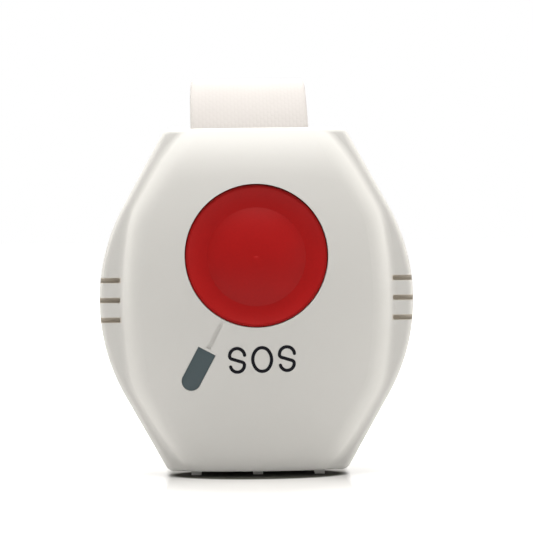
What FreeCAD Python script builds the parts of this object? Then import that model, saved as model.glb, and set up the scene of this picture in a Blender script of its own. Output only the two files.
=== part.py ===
"""Wireless panic button worn on a wrist band.

The case stands on three narrow feet: +Z is up, +X to the right seen from the front, and the
pressed face looks towards -Y. The origin is under the middle foot, at mid width, in the plane
where the front and rear covers meet. Lengths are in millimetres.
"""

import FreeCAD, Part

import math
import os
import re

import Sketcher
from FreeCAD import Placement, Rotation, Vector

SIZES = (
    ("case_width", 50.0, "widest part of the case, at mid height"),
    ("case_height", 55.0, "case from its lower end to its top"),
    ("foot_rise", 0.8, "case above the ground, on its feet"),
    ("foot_width", 1.6, "feet under the rear cover"),
    ("foot_side", 10.0, "outer feet from mid width"),
    ("side_radius", 31.4, "bulging sides, seen from the front"),
    ("end_width", 28.8, "flat lower end and flat top, corner to corner"),
    ("corner_round", 1.6, "four corners of the outline"),
    ("front_depth", 9.0, "crown of the face ahead of the parting plane"),
    ("rear_depth", 5.5, "back of the case behind the parting plane"),
    ("wall", 1.6, "side walls and the back"),
    ("face_wall", 1.8, "face of the front cover"),
    ("face_radius", 80.0, "face in the side view"),
    ("face_half", 19.5, "half the height of that gentle curve"),
    ("roll_radius", 24.0, "face where it rolls over to the lower end and the top"),
    ("cross_radius", 80.0, "face seen from above"),
    ("wing_depth", 4.8, "side wings ahead of the parting plane"),
    ("wing_radius", 120.0, "side wings in the side view"),
    ("wing_wall", 2.2, "wall of the side wings, under the slots"),
    ("wing_width", 2.4, "side wings beside the raised middle, at mid height"),
    ("pillow_radius", 70.0, "sides of the raised middle"),
    ("shoulder_height", 14.0, "where those sides turn in, from mid height"),
    ("wing_end", 1.5, "side wings beside the raised middle, at both ends"),
    ("shoulder_round", 12.0, "turn of the raised middle at its shoulders"),
    ("pillow_wall", 2.4, "side walls of the raised middle"),
    ("pillow_edge", 5.5, "soft front edge of the raised middle"),
    ("valley_round", 1.5, "valley between the raised middle and the wings"),
    ("rim_round", 1.0, "front rim of the case"),
    ("back_round", 2.0, "rear rim of the case"),
    ("tongue_thick", 0.8, "rear cover's tongues inside the front cover"),
    ("tongue_reach", 1.2, "tongues ahead of the parting plane"),
    ("tongue_half", 12.0, "half the height of a tongue"),
    ("fit_gap", 0.1, "clearance of parts that are fitted together"),
    ("run_gap", 0.1, "clearance round the button"),
    ("button_height", 35.55, "centre of the button above the ground"),
    ("button_radius", 11.2, "button at its rim"),
    ("button_skin", 1.4, "wall of the button's face"),
    ("skirt_wall", 1.5, "wall of the button's skirt"),
    ("dome_edge", 7.8, "radius of the crease round the button's dome"),
    ("dome_radius", 22.5, "sphere of the dome"),
    ("dish_radius", 9.0, "hollow ring between the crease and the rim"),
    ("rim_sink", 1.1, "button's rim below the face's tangent plane"),
    ("crease_sink", 2.0, "crease below the face's tangent plane"),
    ("button_round", 0.35, "outer edge of the button"),
    ("flange_lip", 1.3, "flange that holds the button in"),
    ("flange_thick", 0.8, "thickness of that flange"),
    ("sleeve_wall", 1.45, "sleeve that guides the button"),
    ("sleeve_end", 5.2, "sleeve's rear end ahead of the parting plane"),
    ("post_radius", 2.0, "post under the button that works the switch"),
    ("button_travel", 0.5, "stroke of the button"),
    ("slot_count", 3, "grip slots on each side"),
    ("slot_pitch", 3.15, "grip slots, centre to centre"),
    ("slot_rise", 0.34, "middle slot above mid height"),
    ("slot_width", 0.77, "grip slot"),
    ("slot_length", 3.35, "slot, inwards from the widest part of the case"),
    ("slot_depth", 1.4, "slot into the wing"),
    ("slot_round", 0.25, "inner corners of a slot"),
    ("pointer_angle", 28.0, "lamp window and groove, from straight down"),
    ("groove_start", 11.2, "groove's upper end from the button's centre"),
    ("groove_end", 16.45, "groove's lower end from the button's centre"),
    ("groove_width", 0.7, "groove that points at the lamp"),
    ("groove_depth", 0.35, "groove into the face"),
    ("window_start", 16.9, "window's upper end from the button's centre"),
    ("window_end", 23.8, "window's lower end from the button's centre"),
    ("window_width", 2.97, "lamp window"),
    ("window_sink", 0.1, "window below the face"),
    ("window_flange", 0.9, "window's flange round the opening"),
    ("window_back", 4.9, "window's rear face ahead of the parting plane"),
    ("board_front", 1.6, "board's front face ahead of the parting plane"),
    ("board_thick", 1.0, "circuit board"),
    ("board_margin", 3.4, "board's edge inside the outline"),
    ("board_low", 10.2, "board's lower edge above the ground"),
    ("board_high", 46.4, "board's upper edge above the ground"),
    ("boss_radius", 2.0, "screw bosses"),
    ("case_screw_x", 14.0, "case screws from mid width"),
    ("case_screw_low", 7.8, "lower case screws above the ground"),
    ("case_screw_high", 48.8, "upper case screws above the ground"),
    ("case_screw_tip", 2.6, "case screws ahead of the parting plane"),
    ("board_screw_x", 17.0, "side board screws from mid width"),
    ("board_screw_z", 30.8, "side board screws above the ground"),
    ("third_screw_x", 9.0, "lower board screw from mid width"),
    ("third_screw_z", 13.8, "lower board screw above the ground"),
    ("board_screw_tip", 4.4, "board screws ahead of the parting plane"),
    ("screw_radius", 0.9, "screw thread"),
    ("screw_head", 1.6, "radius of a screw's head"),
    ("head_thick", 0.9, "screw's head"),
    ("head_recess", 1.2, "recess for the head in the back"),
    ("drive_radius", 0.75, "hexagonal drive, across its corners"),
    ("drive_depth", 0.5, "depth of the drive"),
    ("switch_side", 6.0, "tactile switch"),
    ("switch_body", 3.0, "moulded body of the switch"),
    ("switch_plate", 0.3, "metal cover of the switch"),
    ("plunger_radius", 1.75, "plunger of the switch"),
    ("plunger_tip", 5.9, "plunger's tip ahead of the parting plane"),
    ("plunger_long", 1.8, "plunger"),
    ("cell_radius", 10.0, "coin cell"),
    ("cell_thick", 3.2, "coin cell"),
    ("cell_height", 25.8, "centre of the cell above the ground"),
    ("cell_bevel", 0.4, "edges of the cell"),
    ("contact_thick", 0.4, "contact under the cell"),
    ("contact_radius", 4.0, "contact under the cell"),
    ("holder_wall", 1.0, "ring round the cell"),
    ("holder_high", 2.4, "ring round the cell, from the board"),
    ("clip_thick", 0.3, "spring clip over the cell"),
    ("clip_width", 5.0, "spring clip over the cell"),
    ("chip_length", 5.0, "encoder chip"),
    ("chip_width", 4.0, "encoder chip"),
    ("chip_thick", 1.5, "encoder chip"),
    ("chip_x", 0.5, "encoder chip from mid width"),
    ("chip_z", 19.0, "encoder chip above the ground"),
    ("lead_count", 4, "chip leads on each side"),
    ("lead_width", 0.4, "chip leads"),
    ("lead_thick", 0.4, "chip leads"),
    ("lead_pitch", 1.27, "chip leads, centre to centre"),
    ("lead_reach", 1.0, "chip leads beyond the body"),
    ("saw_side", 3.5, "surface wave resonator"),
    ("saw_thick", 1.4, "surface wave resonator"),
    ("saw_x", 14.5, "resonator from mid width"),
    ("saw_z", 22.8, "resonator above the ground"),
    ("transistor_length", 2.9, "radio transistor"),
    ("transistor_width", 1.3, "radio transistor"),
    ("transistor_thick", 1.1, "radio transistor"),
    ("transistor_x", 14.0, "radio transistor from mid width"),
    ("transistor_z", 17.8, "radio transistor above the ground"),
    ("passive_length", 1.6, "resistor or capacitor"),
    ("passive_width", 0.8, "resistor or capacitor"),
    ("resistor_thick", 0.5, "resistor"),
    ("capacitor_thick", 0.8, "capacitor"),
    ("passive_count", 4, "resistors, and as many capacitors"),
    ("passive_pitch", 2.4, "resistors or capacitors, centre to centre"),
    ("resistor_x", -6.0, "first resistor from mid width"),
    ("resistor_z", 14.0, "resistors above the ground"),
    ("capacitor_x", -3.6, "first capacitor from mid width"),
    ("capacitor_z", 24.4, "capacitors above the ground"),
    ("lamp_length", 3.2, "status lamp"),
    ("lamp_width", 1.6, "status lamp"),
    ("lamp_thick", 1.2, "status lamp"),
    ("lamp_round", 0.5, "status lamp's lens"),
    ("aerial_wire", 0.4, "radius of the aerial wire"),
    ("aerial_half", 14.0, "aerial's feet from mid width"),
    ("aerial_low", 41.3, "aerial's feet above the ground"),
    ("aerial_high", 45.0, "aerial's top run above the ground"),
    ("aerial_stand", 1.0, "aerial wire off the board"),
    ("aerial_bend", 1.2, "bends of the aerial wire along the board"),
    ("aerial_foot_bend", 0.45, "bends of the aerial wire at its feet"),
    ("strap_width", 20.0, "woven band"),
    ("strap_thick", 1.5, "woven band"),
    ("strap_gap", 0.2, "band off the back of the case"),
    ("bar_low", 14.8, "lower strap bar above the ground"),
    ("bar_high", 41.8, "upper strap bar above the ground"),
    ("bar_width", 3.0, "strap bar"),
    ("bar_thick", 1.6, "strap bar"),
    ("bar_gap", 0.1, "bar clear of the band"),
    ("bar_post", 1.8, "posts at the bar's ends"),
    ("bar_side", 0.5, "posts clear of the band's edges"),
    ("bar_round", 0.5, "edges of the bars"),
    ("loop_top", 65.4, "top of the band above the ground"),
    ("loop_depth", 46.6, "opening of the loop behind the band's front run"),
    ("top_bend", 17.05, "loop's upper front bend, at the wrist"),
    ("low_bend", 10.5, "loop's lower front bend, at the wrist"),
    ("ring_height", 31.0, "centre of the ring above the ground"),
    ("ring_half", 5.0, "half the height of the ring"),
    ("ring_radius", 1.0, "wire of the ring"),
    ("ring_side", 1.0, "ring clear of the band's edges"),
    ("ring_bend", 2.2, "corners of the ring"),
    ("ring_gap", 0.15, "ring clear of the band"),
    ("fold_gap", 1.0, "room for the hook patch between the layers"),
    ("fold_angle", 58.0, "how far the free end runs up the loop"),
    ("sewn_angle", 32.0, "how far the sewn end runs down the loop"),
    ("sewn_gap", 0.1, "sewn end off the layer under it"),
    ("patch_start", 22.0, "lower end of the hook patch round the loop"),
    ("patch_end", 55.0, "upper end of the hook patch round the loop"),
    ("patch_margin", 1.0, "hook patch inside the band's edges"),
    ("patch_gap", 0.1, "hook patch clear of the layers"),
)

doc = FreeCAD.newDocument("PanicButton")
sheet = doc.addObject("Spreadsheet::Sheet", "sizes")
for row, (alias, value, meaning) in enumerate(SIZES, start=1):
    sheet.set(f"A{row}", alias)
    sheet.set(f"B{row}", str(value))
    sheet.setAlias(f"B{row}", alias)
    sheet.set(f"C{row}", meaning)
doc.recompute()

ALIASES = {alias for alias, value, meaning in SIZES}
WORD = re.compile(r"[a-z_]+")
reader = doc.addObject("App::FeaturePython", "reader")
reader.addProperty("App::PropertyFloat", "Answer")

TOLERANCE = 0.001       # two places closer than this are the same place
ALONG_Y = Rotation(Vector(1, 0, 0), -90)
ALONG_X = Rotation(Vector(0, 1, 0), 90)
FRONT_VIEW = Rotation(Vector(1, 0, 0), 90)


def bound(formula):
    """The formula with the sheet's name before each of its sizes."""
    return WORD.sub(lambda word: f"sizes.{word[0]}" if word[0] in ALIASES else word[0], str(formula))


def number(formula):
    """The value of a formula of sizes."""
    reader.setExpression("Answer", bound(formula))
    reader.recompute()
    return reader.Answer


def bind(thing, **formulas):
    for path, formula in formulas.items():
        thing.setExpression(path.replace("_of_", "."), bound(formula))


def place(thing, x=0, y=0, z=0):
    for letter, formula in zip("xyz", (x, y, z)):
        thing.setExpression(f"Placement.Base.{letter}", bound(formula))
    return thing


def block(name, x, y, z):
    """A box between two formulas along each axis."""
    box = doc.addObject("Part::Box", name)
    for side, (low, high) in zip(("Length", "Width", "Height"), (x, y, z)):
        box.setExpression(side, bound(f"({high}) - ({low})"))
    return place(box, x[0], y[0], z[0])


def rod(name, radius, front, back, x=0, z=0):
    """A round rod along Y between two depths."""
    cylinder = doc.addObject("Part::Cylinder", name)
    cylinder.Placement = Placement(Vector(), ALONG_Y)
    bind(cylinder, Radius=radius, Height=f"({back}) - ({front})")
    return place(cylinder, x, front, z)


def join(name, *pieces):
    fuse = doc.addObject("Part::MultiFuse", name)
    fuse.Shapes = list(pieces)
    return fuse


def cut(name, base, *tools):
    """The base less every tool."""
    result = doc.addObject("Part::Cut", name)
    result.Base = base
    result.Tool = tools[0] if len(tools) == 1 else join(f"{name}_tools", *tools)
    return result


def common(name, *pieces):
    result = doc.addObject("Part::MultiCommon", name)
    result.Shapes = list(pieces)
    return result


def extrude(name, profile, front, back, direction=Vector(0, 1, 0)):
    """A flat profile carried from one depth to another."""
    result = doc.addObject("Part::Extrusion", name)
    result.Base = profile
    result.DirMode = "Custom"
    result.Dir = direction
    result.Solid = True
    bind(result, LengthFwd=back, LengthRev=f"-({front})")
    return result


def inset(name, profile, distance):
    """A flat profile drawn in by a distance."""
    result = doc.addObject("Part::Offset2D", name)
    result.Source = profile
    result.Join = "Intersection"
    bind(result, Value=f"-({distance})")
    return result


def rounded(name, source, radius, wanted):
    """The source with the wanted edges rounded."""
    doc.recompute()
    size = number(radius)
    result = doc.addObject("Part::Fillet", name)
    result.Base = source
    edges = enumerate(source.Shape.Edges, start=1)
    result.Edges = [(index, size, size) for index, edge in edges if wanted(edge)]
    doc.recompute()
    return result


class Outline:
    """A closed sketch whose corners are formulas, joined by lines and arcs."""

    def __init__(self, name, view):
        self.sketch = doc.addObject("Sketcher::SketchObject", name)
        self.sketch.Placement = Placement(Vector(), view)
        self.corners = []

    def to(self, x, y, bulge=None):
        """Adds a corner; bulge is the radius of the arc that leads to it, negative where it turns right."""
        self.corners.append((x, y, bulge))
        return self

    def draw(self):
        points = [Vector(number(x), number(y), 0) for x, y, bulge in self.corners]
        count = len(points)
        for start in range(count):
            end = (start + 1) % count
            self.leg(points[start], points[end], *self.corners[end])
        for index in range(count):
            after = (index + 1) % count
            self.sketch.addConstraint(Sketcher.Constraint(
                "Coincident", index, self.exit(index), after, 3 - self.exit(after)))
        return self.sketch

    def leg(self, start, end, x, y, bulge):
        if bulge is None:
            index = self.sketch.addGeometry(Part.LineSegment(start, end), False)
        else:
            radius = number(bulge)
            across = end - start
            left = Vector(-across.y, across.x, 0).normalize()
            reach = math.sqrt(max(radius ** 2 - (across.Length / 2) ** 2, 0.0))
            side = math.copysign(1.0, radius)
            centre = (start + end) / 2 + left * reach * side
            top = centre - left * radius
            index = self.sketch.addGeometry(Part.Arc(start, top, end), False)
            size = self.sketch.addConstraint(Sketcher.Constraint("Radius", index, abs(radius)))
            self.sketch.setExpression(f"Constraints[{size}]", bound(f"abs({bulge})"))
        self.pin(index, self.exit(index), x, y)

    def exit(self, index):
        """Which end of a piece the outline leaves by: an arc drawn clockwise is stored turned round."""
        piece = self.sketch.Geometry[index]
        if piece.TypeId == "Part::GeomLineSegment":
            return 2
        return 1 if self.corners[self.ending(index)][2].startswith("-") else 2

    def ending(self, index):
        return (index + 1) % len(self.corners)

    def pin(self, index, point, x, y):
        for kind, formula in (("DistanceX", x), ("DistanceY", y)):
            value = number(formula)
            made = self.sketch.addConstraint(Sketcher.Constraint(kind, -1, 1, index, point, value))
            self.sketch.setExpression(f"Constraints[{made}]", bound(formula))


# Formulas that more than one piece uses.
HALF = "(case_height / 2)"
MID = f"(foot_rise + {HALF})"
ARC_X = "(case_width / 2 - side_radius)"
END = "(end_width / 2)"
TILT = f"asin((button_height - {MID}) / face_radius)"
BUTTON_Y = f"(-front_depth + face_radius * (1 - cos({TILT})))"
FLANGE_Y = "(-sleeve_end + fit_gap)"
BOARD_BACK = "(board_thick - board_front)"
CELL_FRONT = f"({BOARD_BACK} + contact_thick)"
HEAD_SEAT = "(rear_depth - head_recess)"
BEFORE = "(-front_depth - wall)"
BEHIND = "(rear_depth + wall)"
CASE_SCREWS = [(x, z) for x in ("-case_screw_x", "case_screw_x")
               for z in ("case_screw_low", "case_screw_high")]
BOARD_SCREWS = [("-board_screw_x", "board_screw_z"), ("board_screw_x", "board_screw_z"),
                ("third_screw_x", "third_screw_z")]


def tangent_point(radius, centre, across, up):
    """Where a line from (across, up) touches a circle centred on (centre, 0)."""
    angle = f"(atan2({up}; {across} - {centre}) - acos({radius} / hypot({across} - {centre}; {up})))"
    return f"({centre} + {radius} * cos({angle}))", f"({radius} * sin({angle}))"


def barrel(name, half_end, half_height, shoulder_x, shoulder_z, radius):
    """Flat ends, slanted corners and bulging sides, centred on mid height."""
    low, high = f"{MID} - {half_height}", f"{MID} + {half_height}"
    turn_low, turn_high = f"{MID} - {shoulder_z}", f"{MID} + {shoulder_z}"
    shape = Outline(name, FRONT_VIEW)
    shape.to(f"-({half_end})", low).to(half_end, low)
    shape.to(shoulder_x, turn_low).to(shoulder_x, turn_high, radius)
    shape.to(half_end, high).to(f"-({half_end})", high)
    shape.to(f"-({shoulder_x})", turn_high).to(f"-({shoulder_x})", turn_low, radius)
    return shape.draw()


def runs_back(box):
    """True for the box of an edge that runs straight from front to back."""
    return box.XLength < TOLERANCE and box.ZLength < TOLERANCE


def upright_corner(half_width, from_middle):
    """Picks the edges that run front to back at one distance from mid width and mid height."""
    across, away, middle = number(half_width), number(from_middle), number(MID)

    def wanted(edge):
        box = edge.BoundBox
        at_height = abs(abs(box.ZMin - middle) - away) < TOLERANCE
        return runs_back(box) and abs(abs(box.XMin) - across) < TOLERANCE and at_height
    return wanted


TURN_X, TURN_Z = tangent_point("side_radius", ARC_X, END, HALF)
case_outline = barrel("case_outline", END, HALF, TURN_X, TURN_Z, "side_radius")


def case_form(name, front, back):
    """The case's outline with its corners rounded, between two depths."""
    plain = extrude(f"{name}_plain", case_outline, front, back)
    return rounded(name, plain, "corner_round", upright_corner(END, HALF))


def crowned_block(name, sink):
    """A block behind the crowned face, or behind that face sunk by a distance.

    Seen from the side the face follows one gentle arc and rolls over at both ends, so the same
    section is turned about the gentle arc's axis and then about an axis of its own at each end.
    """
    depth = number(sink)
    radius, roll, cross = number("face_radius"), number("roll_radius"), number("cross_radius")
    crown, half, height = -number("front_depth"), number("case_width / 2"), number(MID)
    share = math.degrees(math.asin(number("face_half") / radius))
    edge_y = crown + cross - math.sqrt((cross - depth) ** 2 - half ** 2)
    back_y = number("rear_depth")
    corners = [Vector(half, edge_y, height), Vector(half, back_y, height),
               Vector(-half, back_y, height), Vector(-half, edge_y, height)]
    front_arc = Part.Arc(corners[3], Vector(0, crown + depth, height), corners[0]).toShape()
    sides = [Part.LineSegment(start, end).toShape() for start, end in zip(corners, corners[1:])]
    section = Part.Face(Part.Wire([front_arc] + sides))
    hub, across = Vector(0, crown + radius, height), Vector(1, 0, 0)
    lowest = section.copy()
    lowest.rotate(hub, across, -share)
    sectors = [lowest.revolve(hub, across, 2 * share)]
    for side in (-1, 1):
        outward = Rotation(across, side * share).multVec(Vector(0, -1, 0))
        end_section = section.copy()
        end_section.rotate(hub, across, side * share)
        sectors.append(end_section.revolve(hub + outward * (radius - roll), across, side * (90 - share)))
    block_feature = doc.addObject("Part::Feature", name)
    block_feature.Shape = sectors[0].fuse(sectors[1:]).removeSplitter()
    return block_feature


def pillow(name, margin, turn):
    """The raised middle's outline, drawn in by a margin and carried through the whole depth."""
    waist, end = "(case_width / 2 - wing_width)", f"({END} - wing_end)"
    shoulder_x = f"({waist} - pillow_radius + sqrt(pillow_radius ^ 2 - shoulder_height ^ 2))"
    slope = f"(({shoulder_x} - {end}) / ({HALF} - shoulder_height))"
    past = "(2 * pillow_wall)"
    profile = barrel(f"{name}_outline", f"({end} - {slope} * {past})", f"({HALF} + {past})",
                     shoulder_x, "shoulder_height", "pillow_radius")
    if margin:
        profile = inset(f"{name}_inset", profile, margin)
    plain = extrude(f"{name}_plain", profile, BEFORE, "0")
    doc.recompute()
    middle, ends = number(MID), number(HALF)

    def wanted(edge):
        box = edge.BoundBox
        return runs_back(box) and abs(box.ZMin - middle) < ends
    return rounded(name, plain, turn, wanted)


def upright(face):
    """True for a face that stands square to the front."""
    low_u, high_u, low_v, high_v = face.ParameterRange
    return abs(face.normalAt((low_u + high_u) / 2, (low_v + high_v) / 2).y) < TOLERANCE


def beside(shape, edge):
    """The faces that meet at an edge."""
    return [face for face in shape.Faces if any(each.isSame(edge) for each in face.Edges)]


def wing_roll(name, radius):
    """A wide roller whose front bulges as the wings do, about the wings' own axis."""
    roller = doc.addObject("Part::Cylinder", name)
    roller.Placement = Placement(Vector(), ALONG_X)
    bind(roller, Radius=radius, Height="case_width * 2")
    return place(roller, "-case_width", "wing_radius - wing_depth", MID)


def soft_sides(name, raised, radius):
    """A raised form with its front edges rounded along both sides."""
    doc.recompute()

    def front_side(edge):
        box = edge.BoundBox
        return box.YMax < -TOLERANCE and box.ZLength > TOLERANCE and box.XMin * box.XMax > 0
    return rounded(name, raised, radius, front_side)


def front_form():
    """The front cover's outer form: side wings, raised middle, valley and rim."""
    outline_block = case_form("front_block", BEFORE, "0")
    wings = common("wings", outline_block, wing_roll("wing_front", "wing_radius"))
    raised = common("raised", pillow("pillow", None, "shoulder_round"), crowned_block("crown", "0"))
    soft = soft_sides("soft_raised", raised, "pillow_edge")
    whole = join("cover_form", wings, common("trimmed_raised", soft, outline_block))
    doc.recompute()
    bend = number("wing_radius")

    def in_valley(edge):
        faces = beside(whole.Shape, edge)
        wing = [face for face in faces if abs(getattr(face.Surface, "Radius", 0) - bend) < TOLERANCE]
        return len(wing) == 1 and not any(upright(face) for face in faces)
    hollowed = rounded("valley", whole, "valley_round", in_valley)

    def on_rim(edge):
        middle = edge.valueAt((edge.FirstParameter + edge.LastParameter) / 2)
        walls = [face for face in beside(hollowed.Shape, edge) if upright(face)]
        return len(walls) == 1 and middle.y < -TOLERANCE
    return rounded("rim", hollowed, "rim_round", on_rim)


def pointer_block(name, width, start, end, front, back):
    """A box along the pointer's line, measured from the button's centre."""
    box = doc.addObject("Part::Box", name)
    box.Placement = Placement(Vector(), Rotation(Vector(0, 1, 0), 0))
    box.setExpression("Placement.Rotation.Angle", bound("180 + pointer_angle"))
    bind(box, Length=width, Width=f"({back}) - ({front})", Height=f"({end}) - ({start})")
    along_x, along_z = "(-sin(pointer_angle))", "(-cos(pointer_angle))"
    return place(box, f"({along_x}) * ({start}) - ({along_z}) * ({width}) / 2", front,
                 f"button_height + ({along_z}) * ({start}) + ({along_x}) * ({width}) / 2")


def along_pointer(distance):
    """The point of the pointer's line at a distance from the button's centre."""
    return f"(-sin(pointer_angle) * ({distance}))", f"(button_height - cos(pointer_angle) * ({distance}))"


def window_prism(name, margin, front, back):
    """The lamp window's shape: square at its upper end and round at the lower one."""
    radius = f"(window_width / 2 + ({margin}))"
    round_end = "(window_end - window_width / 2)"
    x, z = along_pointer(round_end)
    straight = pointer_block(f"{name}_straight", f"2 * {radius}", f"window_start - ({margin})", round_end,
                             front, back)
    return join(name, straight, rod(f"{name}_end", radius, front, back, x, z))


def grip_slots():
    """Slots cut into both wings from the front and out through the side."""
    tools, inner_end_x = [], "(case_width / 2 - slot_length)"
    for index in range(int(number("slot_count"))):
        height = f"({MID} + slot_rise + ({index} - (slot_count - 1) / 2) * slot_pitch)"
        low, high = f"{height} - slot_width / 2", f"{height} + slot_width / 2"
        floor = "slot_depth - wing_depth"
        for side, (start, end) in (("right", (inner_end_x, "case_width / 2 + wall")),
                                   ("left", ("-case_width / 2 - wall", f"-{inner_end_x}"))):
            plain = block(f"slot_{side}_{index}_plain", (start, end), ("-front_depth", floor), (low, high))
            inner = number(inner_end_x)

            def inner_end(edge, inner=inner):
                box = edge.BoundBox
                return runs_back(box) and abs(abs(box.XMin) - inner) < TOLERANCE
            tools.append(rounded(f"slot_{side}_{index}", plain, "slot_round", inner_end))
    return tools


def front_cover():
    """Front cover: hollow shell, button sleeve, screw bosses, lamp opening, groove and grip slots."""
    form = front_form()
    inner = extrude("inner_block", inset("inner_outline", case_outline, "wall"), "-front_depth", "wall")
    hollow = common("hollow_middle", crowned_block("face_inside", "face_wall"),
                    pillow("middle_inside", "pillow_wall", "shoulder_round - pillow_wall"))
    raised_room = common("raised_room", inner, soft_sides("soft_hollow", hollow, "pillow_edge - face_wall"))
    wing_room = common("wing_room", inner, wing_roll("wing_inside", "wing_radius - wing_wall"))
    shell = cut("front_shell", form, raised_room, wing_room)
    sleeve_radius = "button_radius + run_gap + sleeve_wall"
    supports = [rod("sleeve", sleeve_radius, "-front_depth", "-sleeve_end", z="button_height")]
    for index, (x, z) in enumerate(CASE_SCREWS):
        supports.append(rod(f"front_boss_{index}", "boss_radius", "-front_depth", "0", x, z))
    for index, (x, z) in enumerate(BOARD_SCREWS):
        supports.append(rod(f"board_boss_{index}", "boss_radius", "-front_depth", "-board_front", x, z))
    inside = common("front_supports", form, join("front_support_rods", *supports))
    groove = pointer_block("groove_line", "groove_width", "groove_start", "groove_end", BEFORE, "0")
    tools = [
        rod("button_hole", "button_radius + run_gap", BEFORE, "0", z="button_height"),
        rod("flange_room", "button_radius + flange_lip + run_gap", "-sleeve_end", "0", z="button_height"),
        window_prism("window_hole", "fit_gap / 2", BEFORE, "0"),
        cut("groove_tool", groove, crowned_block("groove_floor", "groove_depth")),
    ]
    pilot = "screw_radius + fit_gap / 2"
    for index, (x, z) in enumerate(CASE_SCREWS):
        tools.append(rod(f"case_pilot_{index}", pilot, "-case_screw_tip - fit_gap", "wall", x, z))
    for index, (x, z) in enumerate(BOARD_SCREWS):
        tools.append(rod(f"board_pilot_{index}", pilot, "-board_screw_tip - fit_gap", "0", x, z))
    return cut("front_cover", join("front_solid", shell, inside), *tools, *grip_slots())


def bar_posts(side):
    """Where the posts of the strap bars stand, from mid width."""
    inner, outer = "(strap_width / 2 + bar_side)", "(strap_width / 2 + bar_side + bar_post)"
    return (inner, outer) if side > 0 else (f"-{outer}", f"-{inner}")


def rear_cover():
    """Rear cover: tray with screw posts, two tongues, three feet and two bars that hold the band."""
    tray = case_form("rear_block", "0", "rear_depth")
    back = number("rear_depth")

    def back_rim(edge):
        return abs(edge.BoundBox.YMin - back) < TOLERANCE
    soft = rounded("rear_soft", tray, "back_round", back_rim)
    room = extrude("rear_room", inset("rear_inner", case_outline, "wall"), "-wall", "rear_depth - wall")
    pieces = [cut("rear_shell", soft, room)]
    outer_tongue = extrude("tongue_outer", inset("tongue_line", case_outline, "wall + fit_gap"),
                           "-tongue_reach", "rear_depth - wall")
    tongue_line = inset("tongue_inside", case_outline, "wall + fit_gap + tongue_thick")
    inner_tongue = extrude("tongue_inner", tongue_line, "-tongue_reach - wall", "rear_depth")
    band = block("tongue_band", ("-case_width", "case_width"), ("-tongue_reach", "rear_depth - wall"),
                 (f"{MID} - tongue_half", f"{MID} + tongue_half"))
    pieces.append(common("tongues", cut("tongue_ring", outer_tongue, inner_tongue), band))
    for index, (x, z) in enumerate(CASE_SCREWS):
        pieces.append(rod(f"rear_post_{index}", "boss_radius", "0", "rear_depth - wall", x, z))
    bar_front = "(rear_depth + strap_gap + strap_thick + bar_gap)"
    for name, height in (("low", "bar_low"), ("high", "bar_high")):
        low, high = f"{height} - bar_width / 2", f"{height} + bar_width / 2"
        left, right = bar_posts(-1), bar_posts(1)
        bar_depth = (bar_front, f"{bar_front} + bar_thick")
        bar = block(f"bar_{name}_plain", (left[0], right[1]), bar_depth, (low, high))

        def bar_edges(edge):
            return edge.BoundBox.XLength > TOLERANCE
        pieces.append(rounded(f"bar_{name}", bar, "bar_round", bar_edges))
        post_depth = ("rear_depth - wall / 2", f"{bar_front} + bar_thick / 2")
        for side, post in (("left", left), ("right", right)):
            pieces.append(block(f"post_{name}_{side}", post, post_depth, (low, high)))
    foot_depth, foot_reach = ("0", "rear_depth - back_round"), ("0", "foot_rise + wall / 2")
    for index, side in enumerate((-1, 0, 1)):
        across = (f"{side} * foot_side - foot_width / 2", f"{side} * foot_side + foot_width / 2")
        pieces.append(block(f"foot_{index}", across, foot_depth, foot_reach))
    tools = []
    for index, (x, z) in enumerate(CASE_SCREWS):
        tools.append(rod(f"rear_hole_{index}", "screw_radius + fit_gap", "-wall", BEHIND, x, z))
        tools.append(rod(f"rear_recess_{index}", "screw_head + fit_gap", HEAD_SEAT, BEHIND, x, z))
    return cut("rear_cover", join("rear_solid", *pieces), *tools)


def screw(name, x, z, tip, seat):
    """A cross between a thread and a flat head with a hexagonal drive."""
    drive = doc.addObject("Part::Prism", f"{name}_drive")
    drive.Placement = Placement(Vector(), ALONG_Y)
    bind(drive, Circumradius="drive_radius", Height="head_thick")
    place(drive, x, f"({seat}) + head_thick - drive_depth", z)
    thread = rod(f"{name}_thread", "screw_radius", tip, seat, x, z)
    head = rod(f"{name}_head", "screw_head", seat, f"({seat}) + head_thick", x, z)
    return cut(name, join(f"{name}_solid", thread, head), drive)


def screws(name, places, tip, seat):
    return join(name, *[screw(f"{name}_{index}", x, z, tip, seat) for index, (x, z) in enumerate(places)])


def button_profile(name, depth, reach):
    """Dome, crease and dish turned about the face's normal at the button's centre."""
    dome_top = "(crease_sink - dome_radius + sqrt(dome_radius ^ 2 - dome_edge ^ 2))"
    shape = Outline(f"{name}_section", FRONT_VIEW)
    shape.to("0", "-front_depth * 2").to(reach, "-front_depth * 2").to(reach, f"-rim_sink - ({depth})")
    shape.to("dome_edge", f"-crease_sink - ({depth})", "-dish_radius")
    shape.to("0", f"-{dome_top} - ({depth})", "dome_radius")
    turned = doc.addObject("Part::Revolution", name)
    turned.Source = shape.draw()
    turned.Axis = Vector(0, 0, 1)
    turned.Angle = 360
    turned.Solid = True
    turned.Placement = Placement(Vector(), Rotation(Vector(1, 0, 0), 0))
    turned.setExpression("Placement.Rotation.Angle", bound(f"90 deg - {TILT}"))
    return place(turned, "0", BUTTON_Y, "button_height")


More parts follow.
